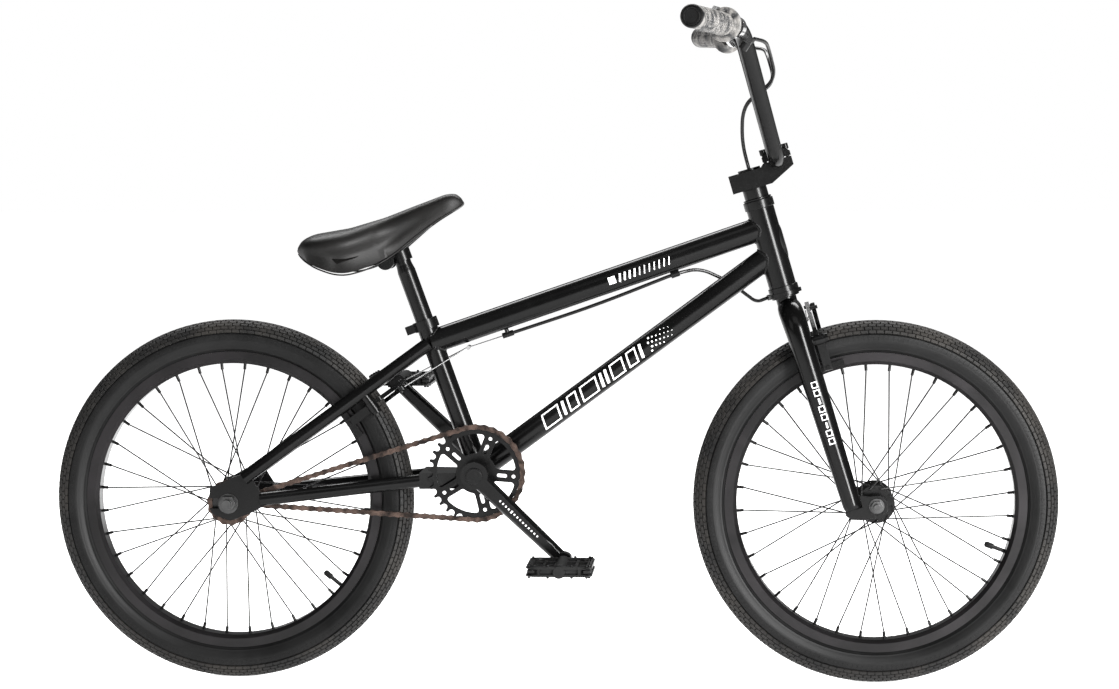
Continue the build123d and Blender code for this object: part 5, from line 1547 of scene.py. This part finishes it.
class BMX_OT_stage(bpy.types.Operator):
    """Camera, floor and soft light"""

    bl_idname = "bmx.stage"
    bl_label = "Stage"

    def execute(self, context):
        settings = context.scene.bmx_stage
        self.camera(context, settings)
        self.floor(settings)
        context.scene.view_settings.view_transform = "Standard"
        context.scene.world = self.room(settings)
        for light in LIGHTS:
            area_light(*light)
        return {"FINISHED"}

    def room(self, settings):
        """A white room that gives only a little light of its own."""
        world = bpy.data.worlds.new("studio")
        world.use_nodes = True
        world.node_tree.nodes.clear()
        room = Graph(world.node_tree)
        seen = room.add("ShaderNodeLightPath").out("Is Camera Ray")
        strength = settings.room_light + seen * (1.0 - settings.room_light)
        walls = room.add("ShaderNodeBackground", None,
                         {"Color": grey(1.0), "Strength": strength}).out()
        room.add("ShaderNodeOutputWorld", None, {"Surface": walls})
        return world

    def camera(self, context, settings):
        data = bpy.data.cameras.new("camera")
        data.lens = settings.lens
        data.sensor_width = SENSOR_WIDTH
        yaw, pitch, roll = radians(CAMERA_YAW), radians(CAMERA_PITCH), radians(CAMERA_ROLL)
        forward = Vector((sin(yaw) * cos(pitch), cos(yaw) * cos(pitch), sin(pitch)))
        right = Vector((cos(yaw), -sin(yaw), 0))
        up = right.cross(forward)
        right, up = right * cos(roll) + up * sin(roll), up * cos(roll) - right * sin(roll)
        matrix = Matrix((right, up, -forward)).transposed().to_4x4()
        matrix.translation = Vector(CAMERA_PLACE)
        camera = bpy.data.objects.new("camera", data)
        camera.matrix_world = matrix
        context.scene.collection.objects.link(camera)
        context.scene.camera = camera

    def floor(self, settings):
        f = Finish("floor_white")
        patches = f.noise(1.4, 3.0)
        tone = f.mixed(patches.stretched(0.2, 0.8), grey(0.93), grey(0.9))
        material = f.shade(tone, 0.75 + (patches - 0.5) * 0.1, None, Emission_Color=grey(1.0),
                           Emission_Strength=0.9)
        half = settings.floor / 2
        mesh = bpy.data.meshes.new("floor")
        mesh.from_pydata([(-half, -half, 0), (half, -half, 0), (half, half, 0), (-half, half, 0)],
                         [], [(0, 1, 2, 3)])
        mesh.materials.append(material)
        floor = bpy.data.objects.new("floor", mesh)
        floor.location = (0, 0, -FLOOR_DROP)
        bpy.context.scene.collection.objects.link(floor)


# In the order in which main() runs them.
OPERATORS = (BMX_OT_finishes, BMX_OT_tyres, BMX_OT_chain, BMX_OT_fork, BMX_OT_grips, BMX_OT_pedals,
             BMX_OT_saddle, BMX_OT_welds, BMX_OT_details, BMX_OT_graphics, BMX_OT_stage)
SETTINGS = (("bmx_tyres", TyreSettings), ("bmx_grips", GripSettings), ("bmx_pedals", PedalSettings),
            ("bmx_welds", WeldSettings), ("bmx_stage", StageSettings))


class BMX_PT_panel(bpy.types.Panel):
    """Lists the operators and their settings"""

    bl_idname = "BMX_PT_panel"
    bl_label = "BMX bike"
    bl_space_type = "VIEW_3D"
    bl_region_type = "UI"
    bl_category = "BMX bike"

    def draw(self, context):
        for operator in OPERATORS:
            self.layout.operator(operator.bl_idname)
        for name, kind in SETTINGS:
            box = self.layout.box()
            for field in kind.__annotations__:
                box.prop(getattr(context.scene, name), field)


def register():
    for kind in [group for _, group in SETTINGS] + list(OPERATORS) + [BMX_PT_panel]:
        bpy.utils.register_class(kind)
    for name, group in SETTINGS:
        setattr(bpy.types.Scene, name, PointerProperty(type=group))


def unregister():
    for name, _ in SETTINGS:
        delattr(bpy.types.Scene, name)
    for kind in [BMX_PT_panel] + list(reversed(OPERATORS)) + [group for _, group in SETTINGS]:
        bpy.utils.unregister_class(kind)


def main():
    """Builds everything."""
    register()
    make_finishes()
    for operator in OPERATORS:
        getattr(bpy.ops.bmx, operator.bl_idname.split(".")[1])()


if __name__ == "__main__":
    main()
